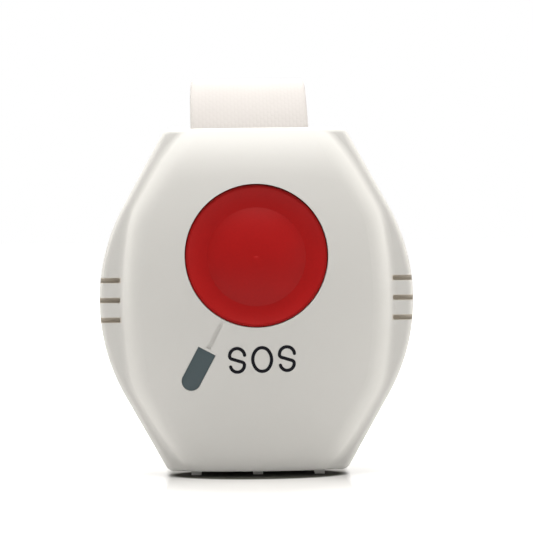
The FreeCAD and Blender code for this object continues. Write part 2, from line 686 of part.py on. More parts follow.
def panic_button():
    """Button: domed cap with a skirt, a holding flange and a post over the switch."""
    form = button_profile("button_form", "0", "(button_radius + run_gap)")
    cap = common("cap", form, rod("cap_rod", "button_radius", BEFORE, FLANGE_Y, z="button_height"))
    between, base = number("button_radius + dome_edge"), number(FLANGE_Y)

    def top_rim(edge):
        box = edge.BoundBox
        return box.XLength > between and box.YMax < base - TOLERANCE
    soft = rounded("cap_soft", cap, "button_round", top_rim)
    flange = rod("button_flange", "button_radius + flange_lip", FLANGE_Y, f"{FLANGE_Y} + flange_thick",
                 z="button_height")
    inside = common("cap_room", button_profile("cap_inside", "button_skin", "(button_radius + run_gap)"),
                    rod("cap_room_rod", "button_radius - skirt_wall", BEFORE, "0", z="button_height"))
    post = common("post", form, rod("post_rod", "post_radius", BEFORE, "-plunger_tip", z="button_height"))
    return join("panic_button", cut("button_shell", join("button_solid", soft, flange), inside), post)


def led_window():
    """Smoke grey lamp window, held behind the face by a flange."""
    pane = common("pane", window_prism("pane_prism", "0", BEFORE, "-window_back"),
                  crowned_block("pane_front", "window_sink"))
    flange = common("pane_flange",
                    window_prism("flange_prism", "window_flange", "-front_depth", "-window_back"),
                    crowned_block("flange_front", "face_wall + fit_gap / 2"))
    return join("led_window", pane, flange)


def circuit_board():
    """Board that follows the bulging sides, with screw holes."""
    half = f"sqrt((side_radius - board_margin) ^ 2 - ({MID} - %s) ^ 2)"
    low_x = f"({ARC_X} + {half % 'board_low'})"
    high_x = f"({ARC_X} + {half % 'board_high'})"
    bulge = "(side_radius - board_margin)"
    shape = Outline("board_outline", FRONT_VIEW)
    shape.to(f"-{low_x}", "board_low", bulge).to(low_x, "board_low")
    shape.to(high_x, "board_high", bulge).to(f"-{high_x}", "board_high")
    plate = extrude("board_plate", shape.draw(), "-board_front", BOARD_BACK)
    holes = [rod(f"board_hole_{index}", "screw_radius + fit_gap", "-board_front - wall", "wall", x, z)
             for index, (x, z) in enumerate(BOARD_SCREWS)]
    return cut("circuit_board", plate, *holes)


def square_about(x, z, half_x, half_z):
    return (f"{x} - {half_x}", f"{x} + {half_x}"), (f"{z} - {half_z}", f"{z} + {half_z}")


def tactile_switch():
    """Switch under the post: moulded body, metal cover and the plunger that moves."""
    across, up = square_about("0", "button_height", "switch_side / 2", "switch_side / 2")
    front = "(-board_front - switch_body)"
    stop = "(plunger_long - plunger_tip + button_travel + fit_gap)"
    body = block("switch_case", across, (front, "-board_front"), up)
    bore = rod("switch_bore", "plunger_radius + fit_gap / 2", BEFORE, stop, z="button_height")
    plate = block("switch_lid", across, (f"{front} - switch_plate", front), up)
    lid_bore = rod("lid_bore", "plunger_radius + fit_gap / 2", BEFORE, "0", z="button_height")
    plunger = rod("switch_plunger", "plunger_radius", "-plunger_tip", "plunger_long - plunger_tip",
                  z="button_height")
    return cut("switch_body", body, bore), cut("switch_frame", plate, lid_bore), plunger


def status_lamp():
    """Lamp on the board behind the window."""
    x, z = along_pointer("((window_start + window_end) / 2)")
    across, up = square_about(x, z, "lamp_width / 2", "lamp_length / 2")
    plain = block("lamp_block", across, ("-board_front - lamp_thick", "-board_front"), up)
    front = number("-board_front - lamp_thick")

    def lens_edges(edge):
        return edge.BoundBox.YMax < front + TOLERANCE
    return rounded("status_led", plain, "lamp_round", lens_edges)


def encoder_chip():
    """Chip with its leads on two sides."""
    across, up = square_about("chip_x", "chip_z", "chip_length / 2", "chip_width / 2")
    pieces = [block("chip_case", across, ("-board_front - chip_thick", "-board_front"), up)]
    for index in range(int(number("lead_count"))):
        x = f"(chip_x + ({index} - (lead_count - 1) / 2) * lead_pitch)"
        side, span = square_about(x, "chip_z", "lead_width / 2", "(chip_width / 2 + lead_reach)")
        pieces.append(block(f"lead_{index}", side, ("-board_front - lead_thick", "-board_front"), span))
    return join("encoder_chip", *pieces)


def flat_part(name, x, z, length, width, thick):
    across, up = square_about(x, z, f"{length} / 2", f"{width} / 2")
    return block(name, across, (f"-board_front - {thick}", "-board_front"), up)


def passive_row(name, thick, first, height):
    """A row of small parts soldered side by side."""
    places = [f"({first} + {index} * passive_pitch)" for index in range(int(number("passive_count")))]
    return join(name, *[flat_part(f"{name}_{index}", x, height, "passive_width", "passive_length", thick)
                        for index, x in enumerate(places)])


def bent_wire(name, points, bends, radius, closed=False):
    """A round wire through the given points, each corner turned on a bend of its own."""
    count = len(points)
    corners = range(count) if closed else range(1, count - 1)
    edges, last = [], None if closed else points[0]
    for index, bend in zip(corners, bends):
        before, corner, after = points[index - 1], points[index], points[(index + 1) % count]
        into, away = (corner - before).normalize(), (after - corner).normalize()
        start, end = corner - into * bend, corner + away * bend
        centre = start + away * bend
        middle = centre + (corner - centre).normalize() * bend
        if last is not None:
            edges.append(Part.LineSegment(last, start).toShape())
        edges.append(Part.Arc(start, middle, end).toShape())
        last = end
    finish = edges[0].Vertexes[0].Point if closed else points[-1]
    edges.append(Part.LineSegment(last, finish).toShape())
    begin = edges[0].Vertexes[0].Point
    section = Part.Wire([Part.Circle(begin, edges[0].tangentAt(edges[0].FirstParameter), radius).toShape()])
    wire = doc.addObject("Part::Feature", name)
    wire.Shape = Part.Wire(edges).makePipeShell([section], True, False)
    return wire


def aerial():
    """Bent wire along the board's upper edge, with both feet on the board."""
    half, low, high = number("aerial_half"), number("aerial_low"), number("aerial_high")
    board, wire_y = -number("board_front"), -number("board_front + aerial_stand")
    points = [Vector(-half, board, low), Vector(-half, wire_y, low), Vector(-half, wire_y, high),
              Vector(half, wire_y, high), Vector(half, wire_y, low), Vector(half, board, low)]
    foot_bend, bend = number("aerial_foot_bend"), number("aerial_bend")
    return bent_wire("aerial_wire", points, [foot_bend, bend, bend, foot_bend], number("aerial_wire"))


def coin_cell():
    """Coin cell behind the board, its smaller face on the contact."""
    plain = rod("cell_plain", "cell_radius", CELL_FRONT, f"{CELL_FRONT} + cell_thick", z="cell_height")
    chamfer = doc.addObject("Part::Chamfer", "coin_cell")
    doc.recompute()
    chamfer.Base = plain
    size = number("cell_bevel")
    edges = enumerate(plain.Shape.Edges, start=1)
    chamfer.Edges = [(index, size, size) for index, edge in edges if edge.BoundBox.YLength < TOLERANCE]
    return chamfer


def cell_fittings():
    """Contact under the cell, ring round it and the spring clip over it."""
    contact = rod("cell_contact", "contact_radius", BOARD_BACK, CELL_FRONT, z="cell_height")
    outer = "(cell_radius + fit_gap + holder_wall)"
    ring = rod("holder_ring", outer, BOARD_BACK, f"{BOARD_BACK} + holder_high", z="cell_height")
    room = rod("holder_room", "cell_radius + fit_gap", "-board_front", BEHIND, z="cell_height")
    leg_in, leg_out = f"({outer} + fit_gap)", f"({outer} + fit_gap + clip_thick)"
    up = ("cell_height - clip_width / 2", "cell_height + clip_width / 2")
    cell_back = f"({CELL_FRONT} + cell_thick)"
    clip_back = f"({cell_back} + clip_thick)"
    clip = [block("clip_bridge", (f"-{leg_out}", leg_out), (cell_back, clip_back), up),
            block("clip_left", (f"-{leg_out}", f"-{leg_in}"), (BOARD_BACK, clip_back), up),
            block("clip_right", (leg_in, leg_out), (BOARD_BACK, clip_back), up)]
    return contact, cut("cell_holder", ring, room), join("cell_clip", *clip)


def belt(circles, offset, first, last):
    """Edges of a band laid round circles in the side view, on its left by an offset.

    A circle is (y, z, radius), with a positive radius where the band turns left round it. The
    band starts at one angle of the first circle and ends at another of the last one.
    """
    headings = []
    for (y, z, radius), (next_y, next_z, next_radius) in zip(circles, circles[1:]):
        apart = math.hypot(next_y - y, next_z - z)
        lean = math.asin(min(1.0, (radius - next_radius) / apart))
        headings.append(math.atan2(next_z - z, next_y - y) + lean)
    starts = [first + math.pi / 2] + headings
    ends = headings + [last + math.pi / 2]

    def point(circle, heading):
        y, z, radius = circle
        reach = radius - offset
        return Vector(0, y + reach * math.sin(heading), z - reach * math.cos(heading))
    edges, before = [], None
    for circle, start, end in zip(circles, starts, ends):
        turn = (end - start) % (2 * math.pi)
        if circle[2] < 0:
            turn -= 2 * math.pi
        arc = [point(circle, start + turn * share) for share in (0, 0.5, 1)]
        if before is not None:
            edges.append(Part.LineSegment(before, arc[0]).toShape())
        edges.append(Part.Arc(*arc).toShape())
        before = arc[2]
    return edges


def loop_circles():
    """The circles that the band's wrist side is laid round, from its sewn end to its free end."""
    thick = number("strap_thick")
    front = number("rear_depth + strap_gap") + thick
    rear, top = front + number("loop_depth"), number("loop_top") - thick
    ring_z, half, wire = number("ring_height"), number("ring_half"), number("ring_radius")
    upper, lower = ring_z + half, ring_z - half
    wrap = wire + number("ring_gap") + thick
    bar_y = rear + wrap
    high_rear, low_rear = top - upper, lower - thick
    low, high = number("low_bend"), number("top_bend")
    return [
        (rear - low_rear, lower, low_rear + 2 * thick + number("sewn_gap")),
        (bar_y, lower + wire, wrap),
        (rear - low_rear, lower, -low_rear),
        (front + low, thick + low, -low),
        (front + high, top - high, -high),
        (rear - high_rear, upper, -high_rear),
        (bar_y, upper - wire, wrap),
        (rear - high_rear, upper, high_rear + 2 * thick + number("fold_gap")),
    ]


def strap_band():
    """Woven band in one piece: sewn round the ring's lower bar and folded back through the upper one."""
    circles, thick, width = loop_circles(), number("strap_thick"), number("strap_width")
    ends = -math.radians(number("sewn_angle")), math.radians(number("fold_angle"))
    near = belt(circles, 0.0, *ends)
    far = belt(circles, thick, *ends)
    caps = [Part.LineSegment(near[0].Vertexes[0].Point, far[0].Vertexes[0].Point).toShape(),
            Part.LineSegment(near[-1].Vertexes[-1].Point, far[-1].Vertexes[-1].Point).toShape()]
    side = Part.Face(Part.Wire(Part.sortEdges(near + far + caps)[0]))
    side.translate(Vector(-width / 2, 0, 0))
    band = doc.addObject("Part::Feature", "strap_band")
    band.Shape = side.extrude(Vector(width, 0, 0))
    return band


def strap_ring():
    """Rectangular wire ring that the band's ends pass round."""
    y, z, reach = loop_circles()[1]
    wire, half = number("ring_radius"), number("ring_half - ring_radius")
    across = number("strap_width / 2 + ring_side + ring_radius")
    middle = number("ring_height")
    points = [Vector(-across, y, middle - half), Vector(across, y, middle - half),
              Vector(across, y, middle + half), Vector(-across, y, middle + half)]
    return bent_wire("strap_ring", points, [number("ring_bend")] * len(points), wire, closed=True)


def hook_patch():
    """Patch of hooks between the loop and the folded free end."""
    y, z, reach = loop_circles()[-1]
    outer = reach - number("strap_thick + patch_gap")
    inner = outer - number("fold_gap - 2 * patch_gap")
    half = number("strap_width / 2 - patch_margin")
    start, sweep = number("patch_start"), number("patch_end - patch_start")
    edges = []
    for radius in (inner, outer):
        points = [Vector(-half, y + radius * math.cos(angle), z + radius * math.sin(angle))
                  for angle in (math.radians(start + sweep * share) for share in (0, 0.5, 1))]
        edges.append(Part.Arc(*points).toShape())
    inner_arc, outer_arc = edges
    for index in (0, -1):
        ends = inner_arc.Vertexes[index].Point, outer_arc.Vertexes[index].Point
        edges.append(Part.LineSegment(*ends).toShape())
    patch = doc.addObject("Part::Feature", "hook_patch")
    patch.Shape = Part.Face(Part.Wire(Part.sortEdges(edges)[0])).extrude(Vector(2 * half, 0, 0))
    return patch


def build():
    """Every piece by its name."""
    switch_case, switch_lid, plunger = tactile_switch()
    contact, holder, clip = cell_fittings()
    saw = flat_part("saw_resonator", "saw_x", "saw_z", "saw_side", "saw_side", "saw_thick")
    transistor = flat_part("rf_transistor", "transistor_x", "transistor_z", "transistor_length",
                           "transistor_width", "transistor_thick")
    return {
        "front_cover": front_cover(),
        "rear_cover": rear_cover(),
        "cover_screws": screws("cover_screws", CASE_SCREWS, "-case_screw_tip", HEAD_SEAT),
        "panic_button": panic_button(),
        "led_window": led_window(),
        "circuit_board": circuit_board(),
        "board_screws": screws("board_screws", BOARD_SCREWS, "-board_screw_tip", BOARD_BACK),
        "switch_body": switch_case,
        "switch_frame": switch_lid,
        "switch_plunger": plunger,
        "status_led": status_lamp(),
        "encoder_chip": encoder_chip(),
        "saw_resonator": saw,
        "rf_transistor": transistor,
        "chip_resistors": passive_row("chip_resistors", "resistor_thick", "resistor_x", "resistor_z"),
        "chip_capacitors": passive_row("chip_capacitors", "capacitor_thick", "capacitor_x", "capacitor_z"),
        "aerial_wire": aerial(),
        "cell_contact": contact,
        "cell_holder": holder,
        "coin_cell": coin_cell(),
        "cell_clip": clip,
        "strap_band": strap_band(),
        "strap_ring": strap_ring(),
        "hook_patch": hook_patch(),
    }


def check_and_export(pieces):
    """Stops at a failed object or a bad shape, then writes each piece to its own file."""
    doc.recompute()
    for thing in doc.Objects:
        if {"Invalid", "Error"} & set(thing.State):
            raise RuntimeError(f"{thing.Name} failed: {thing.State}")
    for name, piece in pieces.items():
        if piece.Shape.isNull() or not piece.Shape.isValid():
            raise RuntimeError(f"{name} has no valid shape")
        piece.Label = name
    os.makedirs("parts", exist_ok=True)
    for name, piece in pieces.items():
        piece.Shape.exportStep(f"parts/{name}.step")
        print(f"{name}: {len(piece.Shape.Solids)} solid, {piece.Shape.Volume:.1f} mm3")


check_and_export(build())
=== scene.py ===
# %% [markdown]
# # A wireless panic button, dressed for the camera
#
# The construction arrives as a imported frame: covers, button, lamp window, electronics and a plain
# solid for the woven band. This lesson gives every piece its finish and replaces the band's plain
# solid with a woven one. All lengths are metres in the frame's own axes: X right, Y back, Z up.

# %% Load the frame
import math

import bmesh
import bpy
from mathutils import Matrix, Vector
from mathutils.bvhtree import BVHTree


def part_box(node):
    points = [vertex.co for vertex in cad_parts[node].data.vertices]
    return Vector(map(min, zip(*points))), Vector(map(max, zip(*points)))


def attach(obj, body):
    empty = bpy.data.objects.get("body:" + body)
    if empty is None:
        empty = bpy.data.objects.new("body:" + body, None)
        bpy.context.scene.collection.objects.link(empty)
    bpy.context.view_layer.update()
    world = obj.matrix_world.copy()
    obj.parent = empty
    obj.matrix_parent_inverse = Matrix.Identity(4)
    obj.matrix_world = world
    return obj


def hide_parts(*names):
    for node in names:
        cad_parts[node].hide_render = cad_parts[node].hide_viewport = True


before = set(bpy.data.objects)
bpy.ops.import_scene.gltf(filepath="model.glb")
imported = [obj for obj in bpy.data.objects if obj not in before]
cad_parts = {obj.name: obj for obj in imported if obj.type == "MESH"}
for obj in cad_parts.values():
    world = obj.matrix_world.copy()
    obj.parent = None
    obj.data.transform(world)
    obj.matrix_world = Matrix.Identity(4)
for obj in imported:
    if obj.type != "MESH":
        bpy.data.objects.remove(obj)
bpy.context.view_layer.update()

MM = 0.001
HALF = 0.5
print("pieces in the frame:", len(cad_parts))

# %% [markdown]
# The camera comes first, because every later choice is judged through it. The photograph was taken
# from about 30 cm with a long lens, a little above the case and a hair to its left. A camera that
# is aimed at the case's middle and then shifted keeps the verticals as the photograph has them.

# %% Camera
CASE_LOW, CASE_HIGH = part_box("front_cover")
CASE_MIDDLE = (CASE_LOW + CASE_HIGH) / 2
CAMERA_DISTANCE = 0.300
CAMERA_AZIMUTH = math.radians(-0.7)
CAMERA_HEIGHT_ANGLE = math.radians(2.5)
CAMERA_ROLL = math.radians(-0.6)
SENSOR_MM = 36.0
CLIP_NEAR, CLIP_FAR = 0.01, 20.0
PHOTO_SIDE = 533
CASE_CENTRE_PIXEL = (256.3, 299.7)
CASE_WIDTH_PIXELS = 310


def look_at(eye, target, roll=0.0):
    """The placing of a camera or lamp at the eye, facing the target, rolled about the line of sight."""
    turn = (target - eye).to_track_quat("-Z", "Y").to_matrix().to_4x4()
    return Matrix.Translation(eye) @ turn @ Matrix.Rotation(roll, 4, "Z")


def make_camera():
    data = bpy.data.cameras.new("photo_camera")
    case_width = CASE_HIGH.x - CASE_LOW.x
    data.sensor_width = SENSOR_MM
    data.lens = SENSOR_MM * CAMERA_DISTANCE * CASE_WIDTH_PIXELS / (case_width * PHOTO_SIDE)
    data.shift_x = (PHOTO_SIDE / 2 - CASE_CENTRE_PIXEL[0]) / PHOTO_SIDE
    data.shift_y = (CASE_CENTRE_PIXEL[1] - PHOTO_SIDE / 2) / PHOTO_SIDE
    data.clip_start = CLIP_NEAR
    data.clip_end = CLIP_FAR
    back = Vector((math.sin(CAMERA_AZIMUTH) * math.cos(CAMERA_HEIGHT_ANGLE),
                   -math.cos(CAMERA_AZIMUTH) * math.cos(CAMERA_HEIGHT_ANGLE),
                   math.sin(CAMERA_HEIGHT_ANGLE)))
    camera = bpy.data.objects.new("photo_camera", data)
    bpy.context.scene.collection.objects.link(camera)
    aim = Vector((0.0, CASE_HIGH.y, CASE_MIDDLE.z))
    camera.matrix_world = look_at(aim + back * CAMERA_DISTANCE, aim, CAMERA_ROLL)
    bpy.context.scene.camera = camera
    print(f"camera: {data.lens:.1f} mm lens, {CAMERA_DISTANCE / MM:.0f} mm away")


make_camera()

# %% [markdown]
# Both the white ground and the object's finishes are made of shader nodes. A few small helpers keep
# that short: sums with sockets, a smooth rise, a mix of two colours and the place on the object.

# %% Node helpers
def math_node(nodes, links, operation, first, second=0.0):
    """A math node fed by sockets or plain numbers."""
    node = nodes.new("ShaderNodeMath")
    node.operation = operation
    for index, value in enumerate((first, second)):
        if isinstance(value, (int, float)):
            node.inputs[index].default_value = value
        else:
            links.new(value, node.inputs[index])
    return node.outputs[0]


def smooth_ramp(nodes, links, value, low, high, top=1.0):
    """Nothing below the low value, the top from the high value on, and a smooth rise between."""
    ramp = nodes.new("ShaderNodeMapRange")
    ramp.interpolation_type = "SMOOTHSTEP"
    ramp.inputs["From Min"].default_value = low
    ramp.inputs["From Max"].default_value = high
    ramp.inputs["To Max"].default_value = top
    links.new(value, ramp.inputs["Value"])
    return ramp.outputs[0]


def colour_mix(nodes, links, factor, first, second):
    """The first colour where the factor is nothing, the second one where it is one."""
    mix = nodes.new("ShaderNodeMix")
    mix.data_type = "RGBA"
    mix.inputs["A"].default_value = first
    mix.inputs["B"].default_value = second
    links.new(factor, mix.inputs["Factor"])
    return mix.outputs["Result"]


def object_place(nodes):
    return nodes.new("ShaderNodeTexCoord").outputs["Object"]


print("node helpers: sums, smooth rises, colour mixes and places")

# %% [markdown]
# The photograph has a seamless white ground. The floor here is a plain pale surface that keeps the
# contact shadow. Away from the object it also glows, only for the camera and for reflections, so
# that it meets the white world without a horizon and no extra light reaches the object.
#
# Those rays alone see two more things. Beside the case the glow starts closer, because the ground
# is bright there in the photograph too. Under the case lies a small dark oval, because the gap
# between the feet is darker in the photograph than the shadow on a pale floor gets.

# %% White ground
FLOOR_SIDE = 6.0
FLOOR_TONE = (0.82, 0.82, 0.82, 1.0)
FLOOR_SHADE = (0.10, 0.10, 0.09, 1.0)
SHADE_REACH = (0.0154, 0.0064)
SHADE_ENDS = (0.84, 1.0)
METRE = 1.0
FLOOR_GLOW = 1.0
GLOW_STARTS, GLOW_FULL = 0.014, 0.050
SIDE_GLOW = 0.42
SIDE_STARTS, SIDE_FULL = 0.0138, 0.0152
WORLD_LIGHT, WORLD_SEEN = 0.035, 1.0
PURE_WHITE = (1.0, 1.0, 1.0, 1.0)


def seen_directly(nodes, links):
    """One for camera, mirror and glass rays, nothing for the light that falls on the object."""
    rays = nodes.new("ShaderNodeLightPath").outputs
    first = math_node(nodes, links, "MAXIMUM", rays["Is Camera Ray"], rays["Is Glossy Ray"])
    return math_node(nodes, links, "MAXIMUM", first, rays["Is Transmission Ray"])


def make_world():
    world = bpy.data.worlds.new("white_room")
    bpy.context.scene.world = world
    world.use_nodes = True
    nodes, links = world.node_tree.nodes, world.node_tree.links
    nodes.clear()
    mix = nodes.new("ShaderNodeMixShader")
    links.new(seen_directly(nodes, links), mix.inputs["Fac"])
    for socket, strength in ((mix.inputs[1], WORLD_LIGHT), (mix.inputs[2], WORLD_SEEN)):
        background = nodes.new("ShaderNodeBackground")
        background.inputs["Color"].default_value = PURE_WHITE
        background.inputs["Strength"].default_value = strength
        links.new(background.outputs[0], socket)
    output = nodes.new("ShaderNodeOutputWorld")
    links.new(mix.outputs[0], output.inputs["Surface"])


def oval_distance(nodes, links, place, half_width, half_depth):
    """The distance from the middle of the floor, counted in the half sizes of an oval."""
    counted = nodes.new("ShaderNodeVectorMath")
    counted.operation = "MULTIPLY"
    counted.inputs[1].default_value = (1 / half_width, 1 / half_depth, 0.0)
    links.new(place, counted.inputs[0])
    length = nodes.new("ShaderNodeVectorMath")
    length.operation = "LENGTH"
    links.new(counted.outputs[0], length.inputs[0])
    return length.outputs["Value"]


def floor_colour(nodes, links, place, seen):
    """The pale tone, with the small dark oval for the rays that see the floor."""
    from_oval = oval_distance(nodes, links, place, *SHADE_REACH)
    unseen = math_node(nodes, links, "SUBTRACT", 1.0, seen)
    pale = math_node(nodes, links, "MAXIMUM", unseen, smooth_ramp(nodes, links, from_oval, *SHADE_ENDS))
    return colour_mix(nodes, links, pale, FLOOR_SHADE, FLOOR_TONE)


def floor_glow(nodes, links, place, seen):
    """The glow's strength: it grows with the distance all round, and sooner beside the case."""
    split = nodes.new("ShaderNodeSeparateXYZ")
    links.new(place, split.inputs[0])
    aside = math_node(nodes, links, "ABSOLUTE", split.outputs["X"])
    away = oval_distance(nodes, links, place, METRE, METRE)
    far = smooth_ramp(nodes, links, away, GLOW_STARTS, GLOW_FULL, FLOOR_GLOW)
    beside = smooth_ramp(nodes, links, aside, SIDE_STARTS, SIDE_FULL, SIDE_GLOW)
    return math_node(nodes, links, "MULTIPLY", seen, math_node(nodes, links, "MAXIMUM", far, beside))


def floor_material():
    material = bpy.data.materials.new("pale_floor")
    material.use_nodes = True
    nodes, links = material.node_tree.nodes, material.node_tree.links
    nodes.clear()
    place, seen = object_place(nodes), seen_directly(nodes, links)
    matt = nodes.new("ShaderNodeBsdfDiffuse")
    links.new(floor_colour(nodes, links, place, seen), matt.inputs["Color"])
    glow = nodes.new("ShaderNodeEmission")
    links.new(floor_glow(nodes, links, place, seen), glow.inputs["Strength"])
    add = nodes.new("ShaderNodeAddShader")
    links.new(matt.outputs[0], add.inputs[0])
    links.new(glow.outputs[0], add.inputs[1])
    output = nodes.new("ShaderNodeOutputMaterial")
    links.new(add.outputs[0], output.inputs["Surface"])
    return material


def make_floor():
    mesh = bpy.data.meshes.new("floor")
    bm = bmesh.new()
    bmesh.ops.create_grid(bm, x_segments=1, y_segments=1, size=FLOOR_SIDE / 2)
    bm.to_mesh(mesh)
    bm.free()
    mesh.materials.append(floor_material())
    floor = bpy.data.objects.new("floor", mesh)
    bpy.context.scene.collection.objects.link(floor)


make_world()
make_floor()
bpy.context.scene.view_settings.view_transform = "Standard"
print(f"ground: a floor {FLOOR_SIDE:.0f} m wide and a white world")

# %% [markdown]
# Five soft boxes light the case: one close above it, one far out on each side, one at the front
# right and one high behind. Each one's level was found by rendering it alone and comparing the
# tones with the photograph's. They all face the case's middle.

# %% Soft boxes
WARM_WHITE = (1.0, 0.97, 0.91)
NEAR_WHITE = (1.0, 0.98, 0.945)
SOFT_BOXES = {
    "top_box": {"place": (-0.005, -0.021, 0.20), "side": 0.17, "watts": 0.43, "colour": NEAR_WHITE},
    "left_box": {"place": (-0.65, 0.01, 0.20), "side": 0.40, "watts": 1.95, "colour": WARM_WHITE},
    "right_box": {"place": (0.65, 0.01, 0.18), "side": 0.40, "watts": 1.85, "colour": WARM_WHITE},
    "front_box": {"place": (0.50, -0.35, 0.10), "side": 0.30, "watts": 0.42, "colour": WARM_WHITE},
    "back_box": {"place": (0.0, 0.65, 0.40), "side": 0.40, "watts": 3.2, "colour": WARM_WHITE},
}


def make_soft_box(name, place, side, watts, colour):
    """A square area lamp that faces the case."""
    data = bpy.data.lights.new(name, "AREA")
    data.color = colour
    data.shape = "SQUARE"
    data.size = side
    data.energy = watts
    lamp = bpy.data.objects.new(name, data)
    bpy.context.scene.collection.objects.link(lamp)
    lamp.matrix_world = look_at(Vector(place), CASE_MIDDLE)


for name, settings in SOFT_BOXES.items():
    make_soft_box(name, **settings)
print("soft boxes:", len(SOFT_BOXES))

# %% [markdown]
# Moulded plastic is never one flat colour. The mould's surface is spark eroded, which leaves a fine
# even grain, and the resin mottles very faintly. Both belong to every plastic piece here, so they
# are one node group with named inputs, built once. It puts out a height for bump and a tone.

# %% Shared grain
GRAIN_SCALE, GRAIN_DETAIL = 5200.0, 3.0
MOTTLE_SCALE, MOTTLE_DETAIL = 90.0, 2.0
MOTTLE = 0.03
SPECKLE_SHARE = 0.7
NOISE_MEAN = 0.5


def new_group(name, inputs, outputs):
    """An empty node group with float inputs and outputs, and its two end nodes."""
    group = bpy.data.node_groups.new(name, "ShaderNodeTree")
    for label, value in inputs:
        socket = group.interface.new_socket(label, in_out="INPUT", socket_type="NodeSocketFloat")
        socket.default_value = value
    for label in outputs:
        group.interface.new_socket(label, in_out="OUTPUT", socket_type="NodeSocketFloat")
    return group, group.nodes.new("NodeGroupInput"), group.nodes.new("NodeGroupOutput")


def noise(nodes, links, vector, scale, detail):
    texture = nodes.new("ShaderNodeTexNoise")
    texture.inputs["Detail"].default_value = detail
    links.new(vector, texture.inputs["Vector"])
    if isinstance(scale, (int, float)):
        texture.inputs["Scale"].default_value = scale
    else:
        links.new(scale, texture.inputs["Scale"])
    return texture.outputs["Fac"]


def make_grain_group():
    group, start, end = new_group(
        "moulded_grain",
        [("Grain Scale", GRAIN_SCALE), ("Mottle Scale", MOTTLE_SCALE), ("Mottle", MOTTLE)],
        ["Height", "Tone"])
    nodes, links = group.nodes, group.links
    place = object_place(nodes)
    fine = noise(nodes, links, place, start.outputs["Grain Scale"], GRAIN_DETAIL)
    broad = noise(nodes, links, place, start.outputs["Mottle Scale"], MOTTLE_DETAIL)
    centred = math_node(nodes, links, "SUBTRACT", broad, NOISE_MEAN)
    speckle = math_node(nodes, links, "SUBTRACT", fine, NOISE_MEAN)
    weaker = math_node(nodes, links, "MULTIPLY", speckle, SPECKLE_SHARE)
    both = math_node(nodes, links, "ADD", centred, weaker)
    shift = math_node(nodes, links, "MULTIPLY", both, start.outputs["Mottle"])
    links.new(fine, end.inputs["Height"])
    links.new(math_node(nodes, links, "ADD", shift, 1.0), end.inputs["Tone"])
    return group


GRAIN = make_grain_group()
print("group:", GRAIN.name)

# %% [markdown]
# The grip slots get painted shade: their floors are coloured darker and browner, for the shade that falls
# in them. A mask finds the slots from the Object coordinates: it is one between named planes, and falls
# smoothly to nothing just outside them. The slots are evenly spaced, so one pair of planes serves each of
# them in turn.

# %% Painted shade in the slots
SLOT_REACH = (21.5 * MM, 25.5 * MM)
SLOT_FLOORS = (-4.9 * MM, -3.25 * MM)
SLOT_RISE = 0.34 * MM
SLOT_ROWS = 3
SLOT_PITCH = 3.15 * MM
SLOT_HALF = 0.42 * MM
SLOT_SPAN = SLOT_ROWS / 2 * SLOT_PITCH
SLOT_SHADE_STRENGTH = 1.0
MASK_SOFT = 0.06 * MM


def between(nodes, links, value, low, high):
    """A mask that is one where a value lies between two limits."""
    rise = smooth_ramp(nodes, links, value, low - MASK_SOFT, low)
    passed = smooth_ramp(nodes, links, value, high, high + MASK_SOFT)
    return math_node(nodes, links, "MULTIPLY", rise, math_node(nodes, links, "SUBTRACT", 1.0, passed))


def all_of(nodes, links, *masks):
    whole = masks[0]
    for mask in masks[1:]:
        whole = math_node(nodes, links, "MULTIPLY", whole, mask)
    return whole


def from_step_middle(nodes, links, value):
    """How far a value is from the middle of its own whole step, from minus a half to a half."""
    return math_node(nodes, links, "SUBTRACT", math_node(nodes, links, "FRACT", value), HALF)


# Painted shade: a mask for the darker, browner tone in the grip slots, where shade falls.
def make_slot_shade_group():
    group, start, end = new_group("slot_painted_shade", [("Slots", SLOT_SHADE_STRENGTH)], ["Dust"])
    nodes, links = group.nodes, group.links
    split = nodes.new("ShaderNodeSeparateXYZ")
    links.new(object_place(nodes), split.inputs[0])
    x, y, z = split.outputs
    aside = math_node(nodes, links, "ABSOLUTE", x)
    from_middle = math_node(nodes, links, "SUBTRACT", z, CASE_MIDDLE.z + SLOT_RISE)
    turns = math_node(nodes, links, "ADD", math_node(nodes, links, "DIVIDE", from_middle, SLOT_PITCH), HALF)
    from_slot = math_node(nodes, links, "MULTIPLY", from_step_middle(nodes, links, turns), SLOT_PITCH)
    slots = all_of(nodes, links,
                   between(nodes, links, aside, *SLOT_REACH),
                   between(nodes, links, y, *SLOT_FLOORS),
                   between(nodes, links, from_slot, -SLOT_HALF, SLOT_HALF),
                   between(nodes, links, from_middle, -SLOT_SPAN, SLOT_SPAN),
                   start.outputs["Slots"])
    links.new(slots, end.inputs["Dust"])
    return group


PAINTED_SLOT_SHADE = make_slot_shade_group()
print("group:", PAINTED_SLOT_SHADE.name)

# %% [markdown]
# A plastic finish is then a Principled shader with its own colour and gloss, with the grain group
# feeding colour, roughness and bump. The same function serves the white covers, the red button and
# the small black parts inside, each with its own values.

# %% Plastic finishes
GRAIN_STRENGTH, GRAIN_DEPTH = 0.35, 0.01 * MM
PLAIN_GLOSS = 0.5


def new_material(name):
    material = bpy.data.materials.new(name)
    material.use_nodes = True
    nodes, links = material.node_tree.nodes, material.node_tree.links
    return material, nodes, links, nodes["Principled BSDF"]


def add_group(nodes, group, **values):
    node = nodes.new("ShaderNodeGroup")
    node.node_tree = group
    for label, value in values.items():
        node.inputs[label.replace("_", " ")].default_value = value
    return node


def tinted(nodes, links, colour, tone):
    """A colour multiplied by a tone that changes over the surface."""
    mix = nodes.new("ShaderNodeVectorMath")
    mix.operation = "SCALE"
    mix.inputs[0].default_value = colour
    links.new(tone, mix.inputs["Scale"])
    return mix.outputs[0]


def bump(nodes, links, height, strength, depth):
    node = nodes.new("ShaderNodeBump")
    node.inputs["Strength"].default_value = strength
    node.inputs["Distance"].default_value = depth
    links.new(height, node.inputs["Height"])
    return node.outputs["Normal"]


